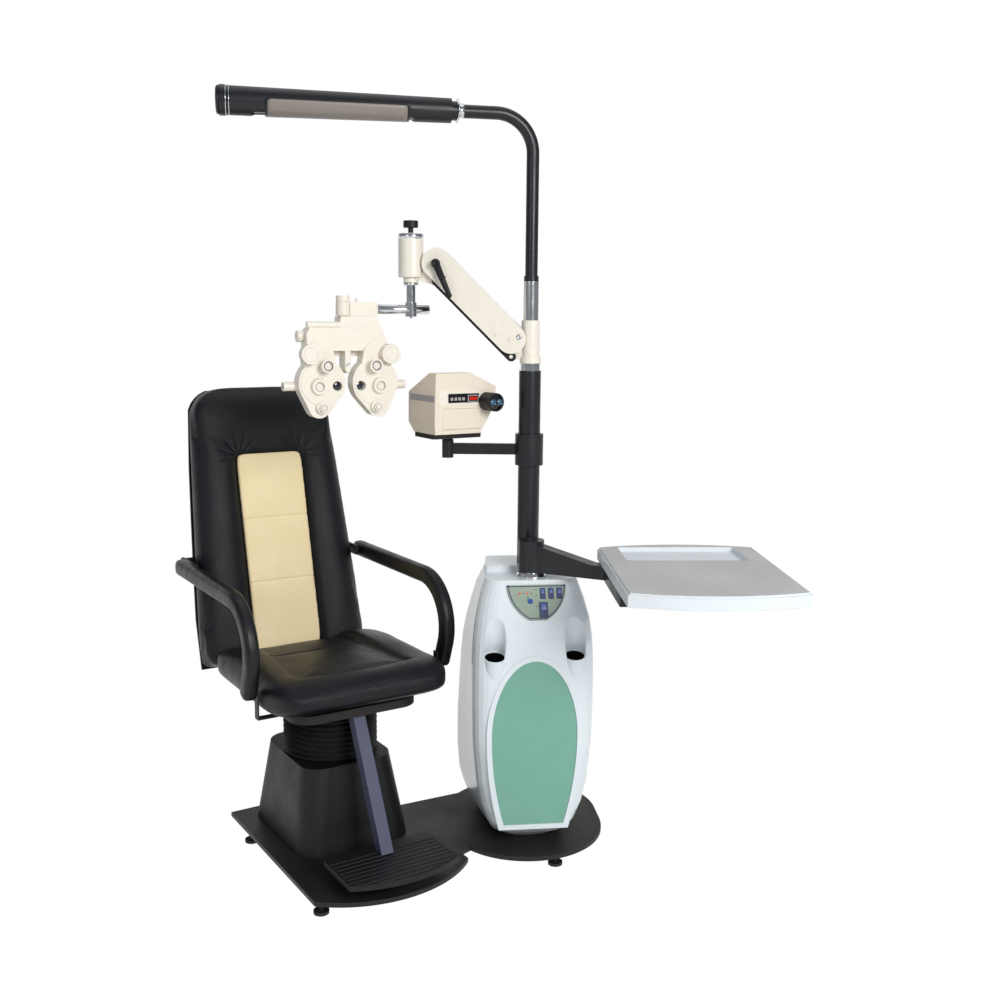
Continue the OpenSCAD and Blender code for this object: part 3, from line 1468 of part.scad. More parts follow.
// Tray with the pin that turns in the bracket's hub
module projector_tray() {
    tray_r = 10;
    color(black) at_projector() {
        translate([0, 0, tray_low]) linear_extrude(tray_h) round_rect(projector_w * 0.8, projector_l * 0.74, tray_r);
        translate([0, 0, -hub_h / 2]) cylinder(h = hub_h / 2 + tray_low, r = spigot_r);
        translate([0, 0, hub_h / 2 + gap]) cylinder(h = tray_low - hub_h / 2 - gap, r = spigot_r + 5);
    }
}

lens_x = 78;
lens_z = 86;
lens_r = 25;

module projector_body() {
    h = projector_h;
    color(beige) at_projector() translate([body_x, 0, tray_low + tray_h]) difference() {
        intersection() {
            upright(2 * projector_l) polygon([
                [-0.49 * projector_w, 0], [-0.5 * projector_w, 0.2 * h], [-0.48 * projector_w, h],
                [0.08 * projector_w, h], [0.5 * projector_w, 0.77 * h], [0.48 * projector_w, 0.5 * h],
                [0.4 * projector_w, 0.3 * h], [0.24 * projector_w, 0]]);
            rotate([90, 0, 90]) linear_extrude(4 * projector_w, center = true) polygon([
                [-0.5 * projector_l, 0], [-0.5 * projector_l, h], [-0.26 * projector_l, h], [0.5 * projector_l, 0.66 * h],
                [0.48 * projector_l, 0.16 * h], [0.3 * projector_l, 0]]);
        }
        translate([lens_x - body_x, -projector_l / 2 + 30, lens_z]) rotate([90, 0, 0]) cylinder(h = projector_l, r = lens_r - 3 + play);
    }
}

module projector_lens() {
    barrel = 50;
    color(black) at_projector() translate([lens_x, -projector_l / 2, tray_low + tray_h + lens_z]) rotate([90, 0, 0]) difference() {
        union() {
            translate([0, 0, gap]) cylinder(h = barrel, r = lens_r);
            translate([0, 0, -28]) cylinder(h = 30, r = lens_r - 3);
        }
        translate([0, 0, barrel - 8]) cylinder(h = barrel, r = lens_r - 4);
    }
}

base_plate();
levelling_feet();
pedestal_cover();
lift_tube();
lift_motor();
console_shell();
front_panel();
control_panel();
well_left();
well_right();
table_pivot();
main_column();
pole_socket();
lift_ram();
bellows();
seat_frame();
seat_cushion();
backrest_shell();
backrest_cushion();
backrest_inset();
armrest_left();
armrest_right();
footrest_bar();
footrest_plate();
lamp_pole();
lamp_housing();
lamp_diffuser();
lamp_tube();
arm_sleeve();
arm_cover();
arm_link();
head_block();
clamp_lever();
height_knob();
drop_rod();
cross_bar();
refractor_mount();
refractor_frame();
pd_knob();
battery_left();
battery_right();
sphere_dial_left();
sphere_dial_right();
aux_dial_left();
aux_dial_right();
cylinder_knob_left();
cylinder_knob_right();
cross_lens_left();
cross_lens_right();
projector_bracket();
projector_tray();
projector_body();
projector_lens();
table_arm();
table_top();
key_left();
key_middle();
key_right();
key_large();
round_button();
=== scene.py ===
import math

import bpy
import numpy as np
from mathutils import Matrix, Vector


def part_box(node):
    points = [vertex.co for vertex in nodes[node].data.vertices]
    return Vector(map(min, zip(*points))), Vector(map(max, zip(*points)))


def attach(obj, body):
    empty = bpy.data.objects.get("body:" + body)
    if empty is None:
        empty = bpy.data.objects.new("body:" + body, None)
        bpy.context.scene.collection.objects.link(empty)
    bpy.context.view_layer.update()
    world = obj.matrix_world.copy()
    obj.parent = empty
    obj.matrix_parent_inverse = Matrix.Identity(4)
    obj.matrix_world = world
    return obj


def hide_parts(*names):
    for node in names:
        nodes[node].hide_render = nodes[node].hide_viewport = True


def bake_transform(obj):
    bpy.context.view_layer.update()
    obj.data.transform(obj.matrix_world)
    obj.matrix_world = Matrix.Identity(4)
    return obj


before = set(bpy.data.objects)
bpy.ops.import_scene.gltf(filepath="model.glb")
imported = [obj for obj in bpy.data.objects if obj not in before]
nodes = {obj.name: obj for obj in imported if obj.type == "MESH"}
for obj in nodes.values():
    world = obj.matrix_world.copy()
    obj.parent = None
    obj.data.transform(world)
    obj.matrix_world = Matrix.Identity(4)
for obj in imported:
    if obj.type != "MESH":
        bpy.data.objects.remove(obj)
scene = bpy.context.scene
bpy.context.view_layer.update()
print("frame loaded,", len(nodes), "nodes")

# ---------- helpers


# sRGB hex to linear colour
def linear(hexColour):
    parts = [int(hexColour[i:i + 2], 16) / 255 for i in (1, 3, 5)]
    return [p / 12.92 if p <= 0.04045 else ((p + 0.055) / 1.055) ** 2.4 for p in parts] + [1.0]


# Adds a shader node, sets its properties and input values, and links its inputs
def addNode(tree, kind, values=None, links=None):
    node = tree.nodes.new("ShaderNode" + kind)
    for key, value in (values or {}).items():
        if isinstance(key, str) and hasattr(node, key):
            setattr(node, key, value)
        else:
            node.inputs[key].default_value = value
    for key, source in (links or {}).items():
        tree.links.new(source, node.inputs[key])
    return node


# A Principled material with a mottled colour, a grain in relief and a roughness that varies.
# grain is the size of the grain in mm, patch that of the mottling; edge is the rounded edge in mm
def newFinish(name, s):
    material = bpy.data.materials.new(name)
    material.use_nodes = True
    tree = material.node_tree
    shader = tree.nodes["Principled BSDF"]
    at = addNode(tree, "TexCoord").outputs["Object"]
    shader.inputs["Base Color"].default_value = linear(s["colour"])
    shader.inputs["Roughness"].default_value = s["rough"]
    shader.inputs["Metallic"].default_value = s.get("metal", 0)
    if "ior" in s:
        shader.inputs["IOR"].default_value = s["ior"]
    shader.inputs["Specular IOR Level"].default_value = s.get("specular", 0.5)
    shader.inputs["Coat Weight"].default_value = s.get("coat", 0)
    shader.inputs["Coat Roughness"].default_value = 0.1
    shader.inputs["Sheen Weight"].default_value = s.get("sheen", 0)
    shader.inputs["Sheen Roughness"].default_value = 0.4
    mottle = addNode(tree, "TexNoise",
                     {"Scale": 1000 / s.get("patch", 60), "Detail": 5, "Roughness": 0.6}, {"Vector": at})
    colour = addNode(tree, "Mix", {"data_type": "RGBA", 6: linear(s["colour"]), 7: linear(s["second"])},
                     {0: mottle.outputs[0]}).outputs[2]
    spread = s.get("spread", 0.08)
    rough = addNode(tree, "MapRange", {"From Min": 0.3, "From Max": 0.7, "To Min": s["rough"] - spread,
                                                 "To Max": s["rough"] + spread}, {0: mottle.outputs[0]}).outputs[0]
    normal = None
    if s.get("edge"):
        normal = addNode(tree, "Bevel", {"samples": 4, "Radius": s["edge"] / 1000}).outputs[0]
    if s.get("grain"):
        if s.get("kind") == "cells":
            warp = addNode(tree, "TexNoise", {"Scale": 400 / s["grain"], "Detail": 2}, {"Vector": at})
            bent = addNode(tree, "Mix", {"data_type": "VECTOR", 0: 0.0012 * s["grain"]},
                           {4: at, 5: warp.outputs["Color"]}).outputs[1]
            grain = addNode(tree, "TexVoronoi", {"feature": "DISTANCE_TO_EDGE",
                                                           "Scale": 1000 / s["grain"]}, {"Vector": bent})
            relief = addNode(tree, "MapRange", {"From Max": 0.25}, {0: grain.outputs["Distance"]}).outputs[0]
        elif s.get("kind") == "brushed":
            long = addNode(tree, "Mapping", {"Scale": (1, 1, 0.02)}, {"Vector": at})
            relief = addNode(tree, "TexNoise", {"Scale": 1000 / s["grain"], "Detail": 2},
                             {"Vector": long.outputs[0]}).outputs[0]
        else:
            relief = addNode(tree, "TexNoise", {"Scale": 1000 / s["grain"], "Detail": 3},
                             {"Vector": at}).outputs[0]
        links = {"Height": relief}
        if normal:
            links["Normal"] = normal
        normal = addNode(tree, "Bump", {"Strength": s.get("depth", 0.2),
                                                  "Distance": s["grain"] * 0.0003}, links).outputs[0]
        if s.get("fleck"):
            band = addNode(tree, "MapRange", {"From Min": 0.56, "From Max": 0.66}, {0: relief}).outputs[0]
            colour = addNode(tree, "Mix", {"data_type": "RGBA", 7: linear(s["fleck"])},
                             {0: band, 6: colour}).outputs[2]
    if s.get("wear"):
        worn = addNode(tree, "Bevel", {"samples": 4, "Radius": 0.003}).outputs[0]
        flat = addNode(tree, "NewGeometry").outputs["Normal"]
        same = addNode(tree, "VectorMath", {"operation": "DOT_PRODUCT"}, {0: worn, 1: flat}).outputs["Value"]
        rub = addNode(tree, "MapRange", {"From Min": 0.97, "From Max": 0.8, "To Max": 0.5}, {0: same}).outputs[0]
        colour = addNode(tree, "Mix", {"data_type": "RGBA", 7: linear(s["wear"])}, {0: rub, 6: colour}).outputs[2]
    tree.links.new(colour, shader.inputs["Base Color"])
    tree.links.new(rough, shader.inputs["Roughness"])
    if normal:
        tree.links.new(normal, shader.inputs["Normal"])
    if "glow" in s:
        shader.inputs["Emission Color"].default_value = linear(s["glow"])
        shader.inputs["Emission Strength"].default_value = s.get("light", 1)
    return material


# Mesh from a grid of points: rows by columns, columns closed on themselves, ends closed by a cap if wanted
def gridMesh(name, grid, material, body, closed=True, caps=True, smooth=True):
    rows, cols = grid.shape[:2]
    r, c = np.meshgrid(np.arange(rows - 1), np.arange(cols if closed else cols - 1), indexing="ij")
    nextCol = (c + 1) % cols
    faces = np.stack([r * cols + c, r * cols + nextCol, (r + 1) * cols + nextCol, (r + 1) * cols + c],
                     -1).reshape(-1, 4).tolist()
    points = grid.reshape(-1, 3)
    if caps:
        points = np.vstack([points, grid[0].mean(0), grid[-1].mean(0)])
        low, high = len(points) - 2, len(points) - 1
        faces += [[(i + 1) % cols, i, low] for i in range(cols)]
        last = (rows - 1) * cols
        faces += [[last + i, last + (i + 1) % cols, high] for i in range(cols)]
    return meshPiece(name, points, faces, material, body, smooth)


def meshPiece(name, points, faces, material, body, smooth=True):
    mesh = bpy.data.meshes.new(name)
    mesh.from_pydata([tuple(p) for p in np.asarray(points, float)], [], faces)
    mesh.polygons.foreach_set("use_smooth", np.full(len(mesh.polygons), smooth))
    mesh.materials.append(material)
    mesh.validate()
    mesh.update()
    piece = bpy.data.objects.new(name, mesh)
    scene.collection.objects.link(piece)
    outward(piece)
    if body:
        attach(piece, body)
    return piece


# Turns the faces outwards: the signed volume of a closed mesh is positive
def outward(piece):
    mesh = piece.data
    mesh.calc_loop_triangles()
    tris = np.empty(len(mesh.loop_triangles) * 3, np.int32)
    mesh.loop_triangles.foreach_get("vertices", tris)
    p = points(mesh)[tris.reshape(-1, 3)]
    if np.einsum("ij,ij->i", p[:, 0], np.cross(p[:, 1], p[:, 2])).sum() < 0:
        mesh.flip_normals()


def points(mesh):
    flat = np.empty(len(mesh.vertices) * 3)
    mesh.vertices.foreach_get("co", flat)
    return flat.reshape(-1, 3)


def setPoints(mesh, p):
    mesh.vertices.foreach_set("co", p.reshape(-1))
    mesh.update()


# Replaces the mesh by what its modifiers make of it
def applyModifiers(piece):
    shape = piece.evaluated_get(bpy.context.evaluated_depsgraph_get())
    made = bpy.data.meshes.new_from_object(shape)
    piece.modifiers.clear()
    piece.data = made


# sign(v) |v|^p: a circle becomes a rounded square as p falls below 1
def bent(v, p):
    return np.sign(v) * np.abs(v) ** p


def smoothStep(v, a, b):
    t = np.clip((v - a) / (b - a), 0, 1)
    return t * t * (3 - 2 * t)


# Angles of a full turn, in equal steps
def fullTurn(count):
    return np.linspace(0, 2 * math.pi, count, endpoint=False)


# Points turned about the upright axis by an angle in radians
def spun(p, angle):
    c, s = math.cos(angle), math.sin(angle)
    return np.stack([p[..., 0] * c - p[..., 1] * s, p[..., 0] * s + p[..., 1] * c, p[..., 2]], -1)


# Superellipsoid: columns turn about the third axis, rows climb it; half sizes and two roundnesses
def roundedBlock(half, plan, rise, rows=60, cols=160):
    v = np.linspace(-1, 1, rows + 2)[1:-1, None] * math.pi / 2
    u = fullTurn(cols)[None, :]
    ring = bent(np.cos(v), rise)
    return np.stack([half[0] * ring * bent(np.cos(u), plan), half[1] * ring * bent(np.sin(u), plan),
                     half[2] * bent(np.sin(v), rise) * np.ones_like(u)], -1)


# Cloth blown up from the shape under pressure, held where hold(points) is 1, moved no further than cap
def inflate(piece, voxel, cap, hold, pressure=4.0):
    remesh = piece.modifiers.new("remesh", "REMESH")
    remesh.mode = "VOXEL"
    remesh.voxel_size = voxel
    applyModifiers(piece)
    rest = points(piece.data)
    group = piece.vertex_groups.new(name="held")
    weights = hold(rest)
    for level in (0.25, 0.5, 0.75, 1.0):
        chosen = np.nonzero(np.abs(weights - level) < 0.125)[0]
        group.add(chosen.tolist(), level, "REPLACE")
    cloth = piece.modifiers.new("cloth", "CLOTH")
    cloth.settings.quality = 4
    cloth.settings.mass = 0.3
    cloth.settings.tension_stiffness = 25
    cloth.settings.compression_stiffness = 25
    cloth.settings.bending_stiffness = 3
    cloth.settings.use_pressure = True
    cloth.settings.uniform_pressure_force = pressure
    cloth.settings.vertex_group_mass = "held"
    cloth.settings.effector_weights.gravity = 0
    cloth.collision_settings.use_collision = False
    cloth.point_cache.frame_start = 1
    cloth.point_cache.frame_end = 20
    for f in range(1, 21):
        scene.frame_set(f)
    applyModifiers(piece)
    blown = points(piece.data)
    step = blown - rest
    length = np.linalg.norm(step, axis=1, keepdims=True)
    setPoints(piece.data, rest + step * np.minimum(1, cap / np.maximum(length, 1e-9)))
    scene.frame_set(1)
    piece.vertex_groups.clear()
    subdivide = piece.modifiers.new("subdivide", "SUBSURF")
    subdivide.levels = subdivide.render_levels = 1
    applyModifiers(piece)
    piece.data.polygons.foreach_set("use_smooth", np.full(len(piece.data.polygons), True))
    print("inflated", piece.name, len(piece.data.polygons), "faces")


# Turned piece: a profile of (radius, height) about an axis at a place; axis is the unit way of its height
def turned(name, profile, place, axis, material, body, cols=48, caps=True):
    profile = np.asarray(profile, float)
    axis = np.asarray(axis, float) / np.linalg.norm(axis)
    side = np.cross(axis, [0.0, 0.0, 1.0]) if abs(axis[2]) < 0.9 else np.array([1.0, 0.0, 0.0])
    side /= np.linalg.norm(side)
    up = np.cross(axis, side)
    t = fullTurn(cols)
    grid = (np.asarray(place, float) + profile[:, 1, None, None] * axis
            + profile[:, 0, None, None] * (np.cos(t)[None, :, None] * side + np.sin(t)[None, :, None] * up))
    return gridMesh(name, grid, material, body, caps=caps)


# ---------- finishes

def paint(colour, second, rough, **more):
    return dict(colour=colour, second=second, rough=rough, **more)


finishes = {
    # bonded leather, embossed with small pebbles, low gloss
    "blackLeather": paint("#080a0e", "#0f1218", 0.38, specular=0.3, grain=2.2, kind="cells", depth=0.35,
                         ior=1.5, patch=90, spread=0.06),
    # the same hide dyed sand, drier
    "beigeLeather": paint("#fdeabd", "#f5dfab", 0.55, grain=2.0, kind="cells", depth=0.22, sheen=0.1,
                         patch=70),
    # integral-skin polyurethane of the armrests, fine matt skin
    "mouldedSkin": paint("#0c0d10", "#121418", 0.42, specular=0.35, grain=0.9, depth=0.12, patch=40, edge=1.5),
    # ABS with a spark-eroded texture
    "texturedAbs": paint("#111214", "#17181a", 0.5, specular=0.35, grain=1.4, depth=0.25, patch=120, edge=2,
                         wear="#3a3b3e"),
    # powder-coated plate: fine orange peel, faintly warm
    "powderBlack": paint("#1e1c1a", "#2b2824", 0.48, specular=0.3, grain=2.2, depth=0.18, patch=140, edge=1.2,
                         wear="#4b4741"),
    # nitrile bellows
    "rubber": paint("#141416", "#1e1e21", 0.62, grain=1.2, depth=0.15, patch=30),
    # glass-fibre housing, gel-coated and polished
    "gelCoat": paint("#e6edf0", "#dfe7ea", 0.3, coat=0.3, patch=300, spread=0.03),
    # pressed film on the front panel, fine pebble
    "mintPanel": paint("#7db3a0", "#72a794", 0.5, grain=2.6, depth=0.3, patch=50, edge=0.8),
    "sagePanel": paint("#98a797", "#8e9d8d", 0.45, grain=1.0, depth=0.12, patch=40, edge=0.8),
    # polished chromium plate
    "chrome": paint("#d9dbdd", "#cfd1d4", 0.12, spread=0.04, metal=1, patch=60, edge=0.8),
    # ground steel
    "steel": paint("#a9aaab", "#98999b", 0.32, metal=1, grain=0.8, kind="brushed", depth=0.1, patch=50, edge=0.8),
    # stove enamel on steel tube
    "charcoalEnamel": paint("#1d1f23", "#17191c", 0.34, specular=0.4, grain=3, depth=0.015, patch=90, edge=0.8,
                            wear="#26282c"),
    "blueGreyEnamel": paint("#4c5068", "#434760", 0.38, grain=2.4, depth=0.08, patch=90, edge=1, wear="#6d7188"),
    # opal acrylic
    "opalAcrylic": paint("#8f867e", "#857c74", 0.35, patch=40, grain=3, depth=0.05),
    "lampGlass": paint("#f2f2ee", "#e9e9e4", 0.25, patch=30),
    # enamelled die castings
    "ivoryEnamel": paint("#f5efe2", "#efe7d7", 0.3, coat=0.15, patch=90, edge=1.2),
    "beigeAbs": paint("#f0e4d2", "#e9dcc8", 0.42, grain=1.2, depth=0.12, patch=80, edge=2),
    "greyAbs": paint("#b3aeaf", "#a8a3a4", 0.45, grain=1.2, depth=0.12, patch=60, edge=1),
    "blackGlass": paint("#08080a", "#0c0c0f", 0.06, spread=0.02, coat=0.5, patch=30),
    # coated lens glass: its blue colour is painted reflection, the coating's cyan glints
    "coatedGlassPaintedGlint": paint("#145a78", "#0d3c58", 0.04, spread=0.02, coat=1, patch=20),
    # the eye glasses: lens glass whose near-black colour is painted shade, the dark inside the apertures
    "lensGlassPaintedShade": paint("#0a0f1c", "#101a30", 0.05, spread=0.02, coat=1, patch=20),
    # melamine laminate with fine flecks
    "laminate": paint("#c4c4c1", "#bcbcb9", 0.45, grain=1.5, fleck="#9a9a98", depth=0.05, patch=200, edge=1.5),
    "navyKey": paint("#2b3768", "#242f5c", 0.35, grain=0.8, depth=0.06, patch=20, edge=0.8),
    # painted highlight: the light tops of the navy keys
    "keyHighlightPaint": paint("#5d70a8", "#5366a0", 0.35, grain=0.8, depth=0.06, patch=20),
    "blueButton": paint("#2d4aa0", "#274295", 0.3, patch=20, grain=1, depth=0.03),
    "printNavy": paint("#26245a", "#2c2a62", 0.5, patch=20, grain=0.8, depth=0.05),
    "redSegment": paint("#5a0c08", "#4a0806", 0.3, patch=10, glow="#ff2a10", light=0.8),
    "greenDot": paint("#2f7a52", "#2a6e4a", 0.3, patch=10, glow="#2f9a60", light=0.3),
    # rubber of the levelling feet
    "footRubber": paint("#1b1b1c", "#242425", 0.7, grain=0.9, depth=0.2, patch=20, edge=0.8),
    # engraved marks filled with dark paint
    "scaleMark": paint("#2a2a2c", "#333335", 0.5, patch=10, grain=0.6, depth=0.05),
}
# The wells' finish: the gel coat, with painted shade in their bores added further down
finishes["wellPaintedShade"] = dict(finishes["gelCoat"])
m = {name: newFinish(name, s) for name, s in finishes.items()}


# Arithmetic node: its operation and two terms, each a socket or a number
def reckon(tree, operation, *terms):
    node = addNode(tree, "Math", {"operation": operation})
    for i, term in enumerate(terms):
        if isinstance(term, (int, float)):
            node.inputs[i].default_value = term
        else:
            tree.links.new(term, node.inputs[i])
    return node.outputs[0]


# Splits a finish in two: the second colour shows where a mask, made from place and normal, is 1
def secondColour(name, hexColour, makeMask):
    tree = m[name].node_tree
    shader = tree.nodes["Principled BSDF"]
    first = shader.inputs["Base Color"].links[0].from_socket
    at = addNode(tree, "TexCoord").outputs["Object"]
    facing = addNode(tree, "NewGeometry").outputs["Normal"]
    mask = makeMask(tree, at, facing)
    both = addNode(tree, "Mix", {"data_type": "RGBA", 7: linear(hexColour)}, {0: mask, 6: first})
    tree.links.new(both.outputs[2], shader.inputs["Base Color"])


# The wells' painted shade starts at mouth and is full at dark along the leaning axis, within radius of each well's
# axis
well = {"axis": (0, -0.225, 0.974), "across": (0, 0.974, 0.225), "offset": -0.0003, "mouth": 0.6048, "dark": 0.6025,
        "middle": 0.204, "apart": 0.108, "radius": 0.0285}


# Painted shade: the wells are darkened below their mouths and inside their bores, where shade falls; place along the
# leaning axis, distance from it
def wellShadeMask(tree, at, facing):
    def along(way):
        return addNode(tree, "VectorMath", {"operation": "DOT_PRODUCT", 1: way}, {0: at}).outputs["Value"]
    below = addNode(tree, "MapRange", {"From Min": well["mouth"], "From Max": well["dark"]},
                    {0: along(well["axis"])}).outputs[0]
    across = reckon(tree, "ADD", along(well["across"]), well["offset"])
    sideways = addNode(tree, "SeparateXYZ", {}, {0: at}).outputs["X"]
    sideways = reckon(tree, "ABSOLUTE", reckon(tree, "ADD", sideways, -well["middle"]))
    sideways = reckon(tree, "ADD", sideways, -well["apart"])
    far = reckon(tree, "ADD", reckon(tree, "POWER", across, 2.0), reckon(tree, "POWER", sideways, 2.0))
    return reckon(tree, "MULTIPLY", below, reckon(tree, "LESS_THAN", far, well["radius"] ** 2))


tableFace = {"upright": 0.7, "high": 0.8700}


# The table's edges and the walls and floor of its tray are pale: everything but the top face
def notTop(tree, at, facing):
    up = addNode(tree, "SeparateXYZ", {}, {0: facing}).outputs["Z"]
    high = addNode(tree, "SeparateXYZ", {}, {0: at}).outputs["Z"]
    both = reckon(tree, "MULTIPLY", reckon(tree, "GREATER_THAN", up, tableFace["upright"]),
                  reckon(tree, "GREATER_THAN", high, tableFace["high"]))
    return reckon(tree, "SUBTRACT", 1.0, both)


# Painted shade: near black inside the wells and below their mouths
secondColour("wellPaintedShade", "#0b0c0d", wellShadeMask)
secondColour("laminate", "#dfe5e8", notTop)

nodeFinish = {
    "powderBlack": ["base_plate", "seat_frame", "projector_tray"],
    "footRubber": ["levelling_feet"],
    "texturedAbs": ["pedestal_cover", "backrest_shell", "footrest_plate", "clamp_lever", "height_knob", "arm_link",
                    "projector_lens"],
    "steel": ["lift_tube"],
    "charcoalEnamel": ["lift_motor", "main_column", "lamp_pole", "lamp_housing", "projector_bracket", "table_arm"],
    "gelCoat": ["console_shell"],
    "wellPaintedShade": ["well_left", "well_right"],
    "mintPanel": ["front_panel"],
    "sagePanel": ["control_panel"],
    "chrome": ["table_pivot", "pole_socket", "lift_ram", "drop_rod"],
    "rubber": ["bellows"],
    "blueGreyEnamel": ["footrest_bar"],
    "opalAcrylic": ["lamp_diffuser"],
    "lampGlass": ["lamp_tube"],
    "ivoryEnamel": ["arm_sleeve", "arm_cover", "head_block", "refractor_mount", "refractor_frame", "pd_knob",
                    "cross_bar", "battery_left",
                    "battery_right", "sphere_dial_left", "sphere_dial_right", "aux_dial_left", "aux_dial_right",
                    "cylinder_knob_left", "cylinder_knob_right", "cross_lens_left", "cross_lens_right"],
    "beigeAbs": ["projector_body"],
    "laminate": ["table_top"],
    "navyKey": ["key_left", "key_middle", "key_right", "key_large"],
    "blueButton": ["round_button"],
    "mouldedSkin": ["armrest_left", "armrest_right"],
    "blackLeather": ["seat_cushion", "backrest_cushion"],
    "beigeLeather": ["backrest_inset"],
}
for finish, names in nodeFinish.items():
    for name in names:
        piece = nodes[name]
        if not piece.material_slots:
            piece.data.materials.append(m[finish])
        for slot in piece.material_slots:
            slot.link = "OBJECT"
            slot.material = m[finish]
print("finishes done")

# ---------- the chair's own frame

chair = {"turn": math.radians(25.7), "backY": 0.290, "backZ": 0.530, "tilt": math.radians(13.1)}
ramBox = np.array(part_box("lift_ram"))
chairAxis = np.array([*ramBox.mean(0)[:2], 0])


# Chair frame (x across, y to the back, z up) to the part's frame
def toChair(p):
    return spun(p, chair["turn"]) + chairAxis


def fromChair(p):
    return spun(p - chairAxis, -chair["turn"])


# Backrest frame (x across, y from the front face backwards, z up the back) to the chair frame
def toBack(p):
    c, s = math.cos(chair["tilt"]), math.sin(chair["tilt"])
    y, z = p[..., 1], p[..., 2]
    return np.stack([p[..., 0], y * c + z * s + chair["backY"], -y * s + z * c + chair["backZ"]], -1)


def fromBack(p):
    c, s = math.cos(chair["tilt"]), math.sin(chair["tilt"])
    y, z = p[..., 1] - chair["backY"], p[..., 2] - chair["backZ"]
    return np.stack([p[..., 0], y * c - z * s, y * s + z * c], -1)


# ---------- seat

seat = {"half": 0.262, "front": -0.284, "back": 0.263, "low": 0.458, "high": 0.564, "padHalf": 0.158,
        "padFront": -0.172,
        "dip": 0.017, "crossSeam": 0.085, "voxel": 0.0065, "cap": 0.012}


# Distance inside the outline of the sunken pad, whose front edge bows forward
def padEdge(x, y):
    across = seat["padHalf"] * (1 - 0.10 * smoothStep(y, -0.2, 0.1)) - np.abs(x)
    along = y - (seat["padFront"] - 0.016 * (1 - (x / seat["padHalf"]) ** 2))
    return np.minimum(across, along)


# A rounded block; its top rises to a front roll and side rolls, sinks to the pad, and falls off at the front
def seatGrid():
    s = seat
    middle = (s["front"] + s["back"]) / 2
    g = roundedBlock([s["half"] - 0.004, (s["back"] - s["front"]) / 2 - 0.004, (s["high"] - s["low"]) / 2 - 0.005],
                     0.22, 0.42, 90, 260)
    x, y, z = g[..., 0], g[..., 1] + middle, g[..., 2]
    x = x * (1 - 0.075 * smoothStep(-y, 0.14, 0.29) - 0.04 * smoothStep(y, 0.18, 0.27))
    top = smoothStep(z, 0.0, 0.035)
    edge = padEdge(x, y)
    z = z + top * (-s["dip"] * smoothStep(edge, -0.022, 0.02) - 0.012 * smoothStep(y, 0.05, 0.26)
                   - 0.016 * smoothStep(-y, 0.235, 0.30) + 0.005 * np.exp(-((y + 0.2) / 0.05) ** 2))
    z = z + (1 - top) * 0.016 * smoothStep(-y, 0.2, 0.29)
    return toChair(np.stack([x, y, z + (s["low"] + s["high"]) / 2], -1))


def holdSeat(p):
    q = fromChair(p)
    edge = np.abs(padEdge(q[:, 0], q[:, 1]))
    top = smoothStep(q[:, 2], 0.50, 0.52)
    pad = padEdge(q[:, 0], q[:, 1]) > 0
    cross = np.where(pad, np.abs(q[:, 1] - seat["crossSeam"]), 1)
    seam = np.minimum(edge, cross)
    low = 1 - smoothStep(q[:, 2], seat["low"] + 0.012, seat["low"] + 0.03)
    return np.maximum(top * (1 - smoothStep(seam, 0.004, 0.014)), low)


# Seam: a groove pressed along the normal where the surface passes the seam line
def pressSeam(piece, distance, depth, width, where=None):
    mesh = piece.data
    p = points(mesh)
    normals = np.empty(len(mesh.vertices) * 3)
    mesh.vertices.foreach_get("normal", normals)
    amount = depth * np.exp(-(distance / width) ** 2)
    if where is not None:
        amount = amount * where
    setPoints(mesh, p - normals.reshape(-1, 3) * amount[:, None])


seatPiece = gridMesh("seatPad", seatGrid(), m["blackLeather"], None)
inflate(seatPiece, seat["voxel"], seat["cap"], holdSeat)
q = fromChair(points(seatPiece.data))
edge = padEdge(q[:, 0], q[:, 1])
onTop = smoothStep(q[:, 2], 0.50, 0.52)
pressSeam(seatPiece, edge, 0.0035, 0.0045, onTop)
q = fromChair(points(seatPiece.data))
pressSeam(seatPiece, q[:, 1] - seat["crossSeam"], 0.0035, 0.004, onTop * (edge > 0))
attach(seatPiece, "chair")
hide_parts("seat_cushion")
print("seat done")

# ---------- backrest

back = {"half": 0.262, "head": 0.213, "low": -0.066, "high": 0.768, "thick": 0.080, "insetHalf": 0.104,
        "insetHigh": 0.560,
        "bulge": 0.013, "voxel": 0.007, "cap": 0.012}


def backWidth(z):
    s = np.clip((z - back["low"]) / (back["high"] - back["low"]), 0, 1)
    return back["half"] * (1 - (1 - back["head"] / back["half"]) * s ** 1.25)


# Distance inside the opening for the inset: a tall panel with rounded top corners
def openEdge(x, z):
    r = 0.03
    dx = np.abs(x) - (back["insetHalf"] - r)
    dz = z - (back["insetHigh"] - r)
    corner = np.hypot(np.maximum(dx, 0), np.maximum(dz, 0)) - r
    return -np.maximum(corner, np.maximum(dx, dz) - r)


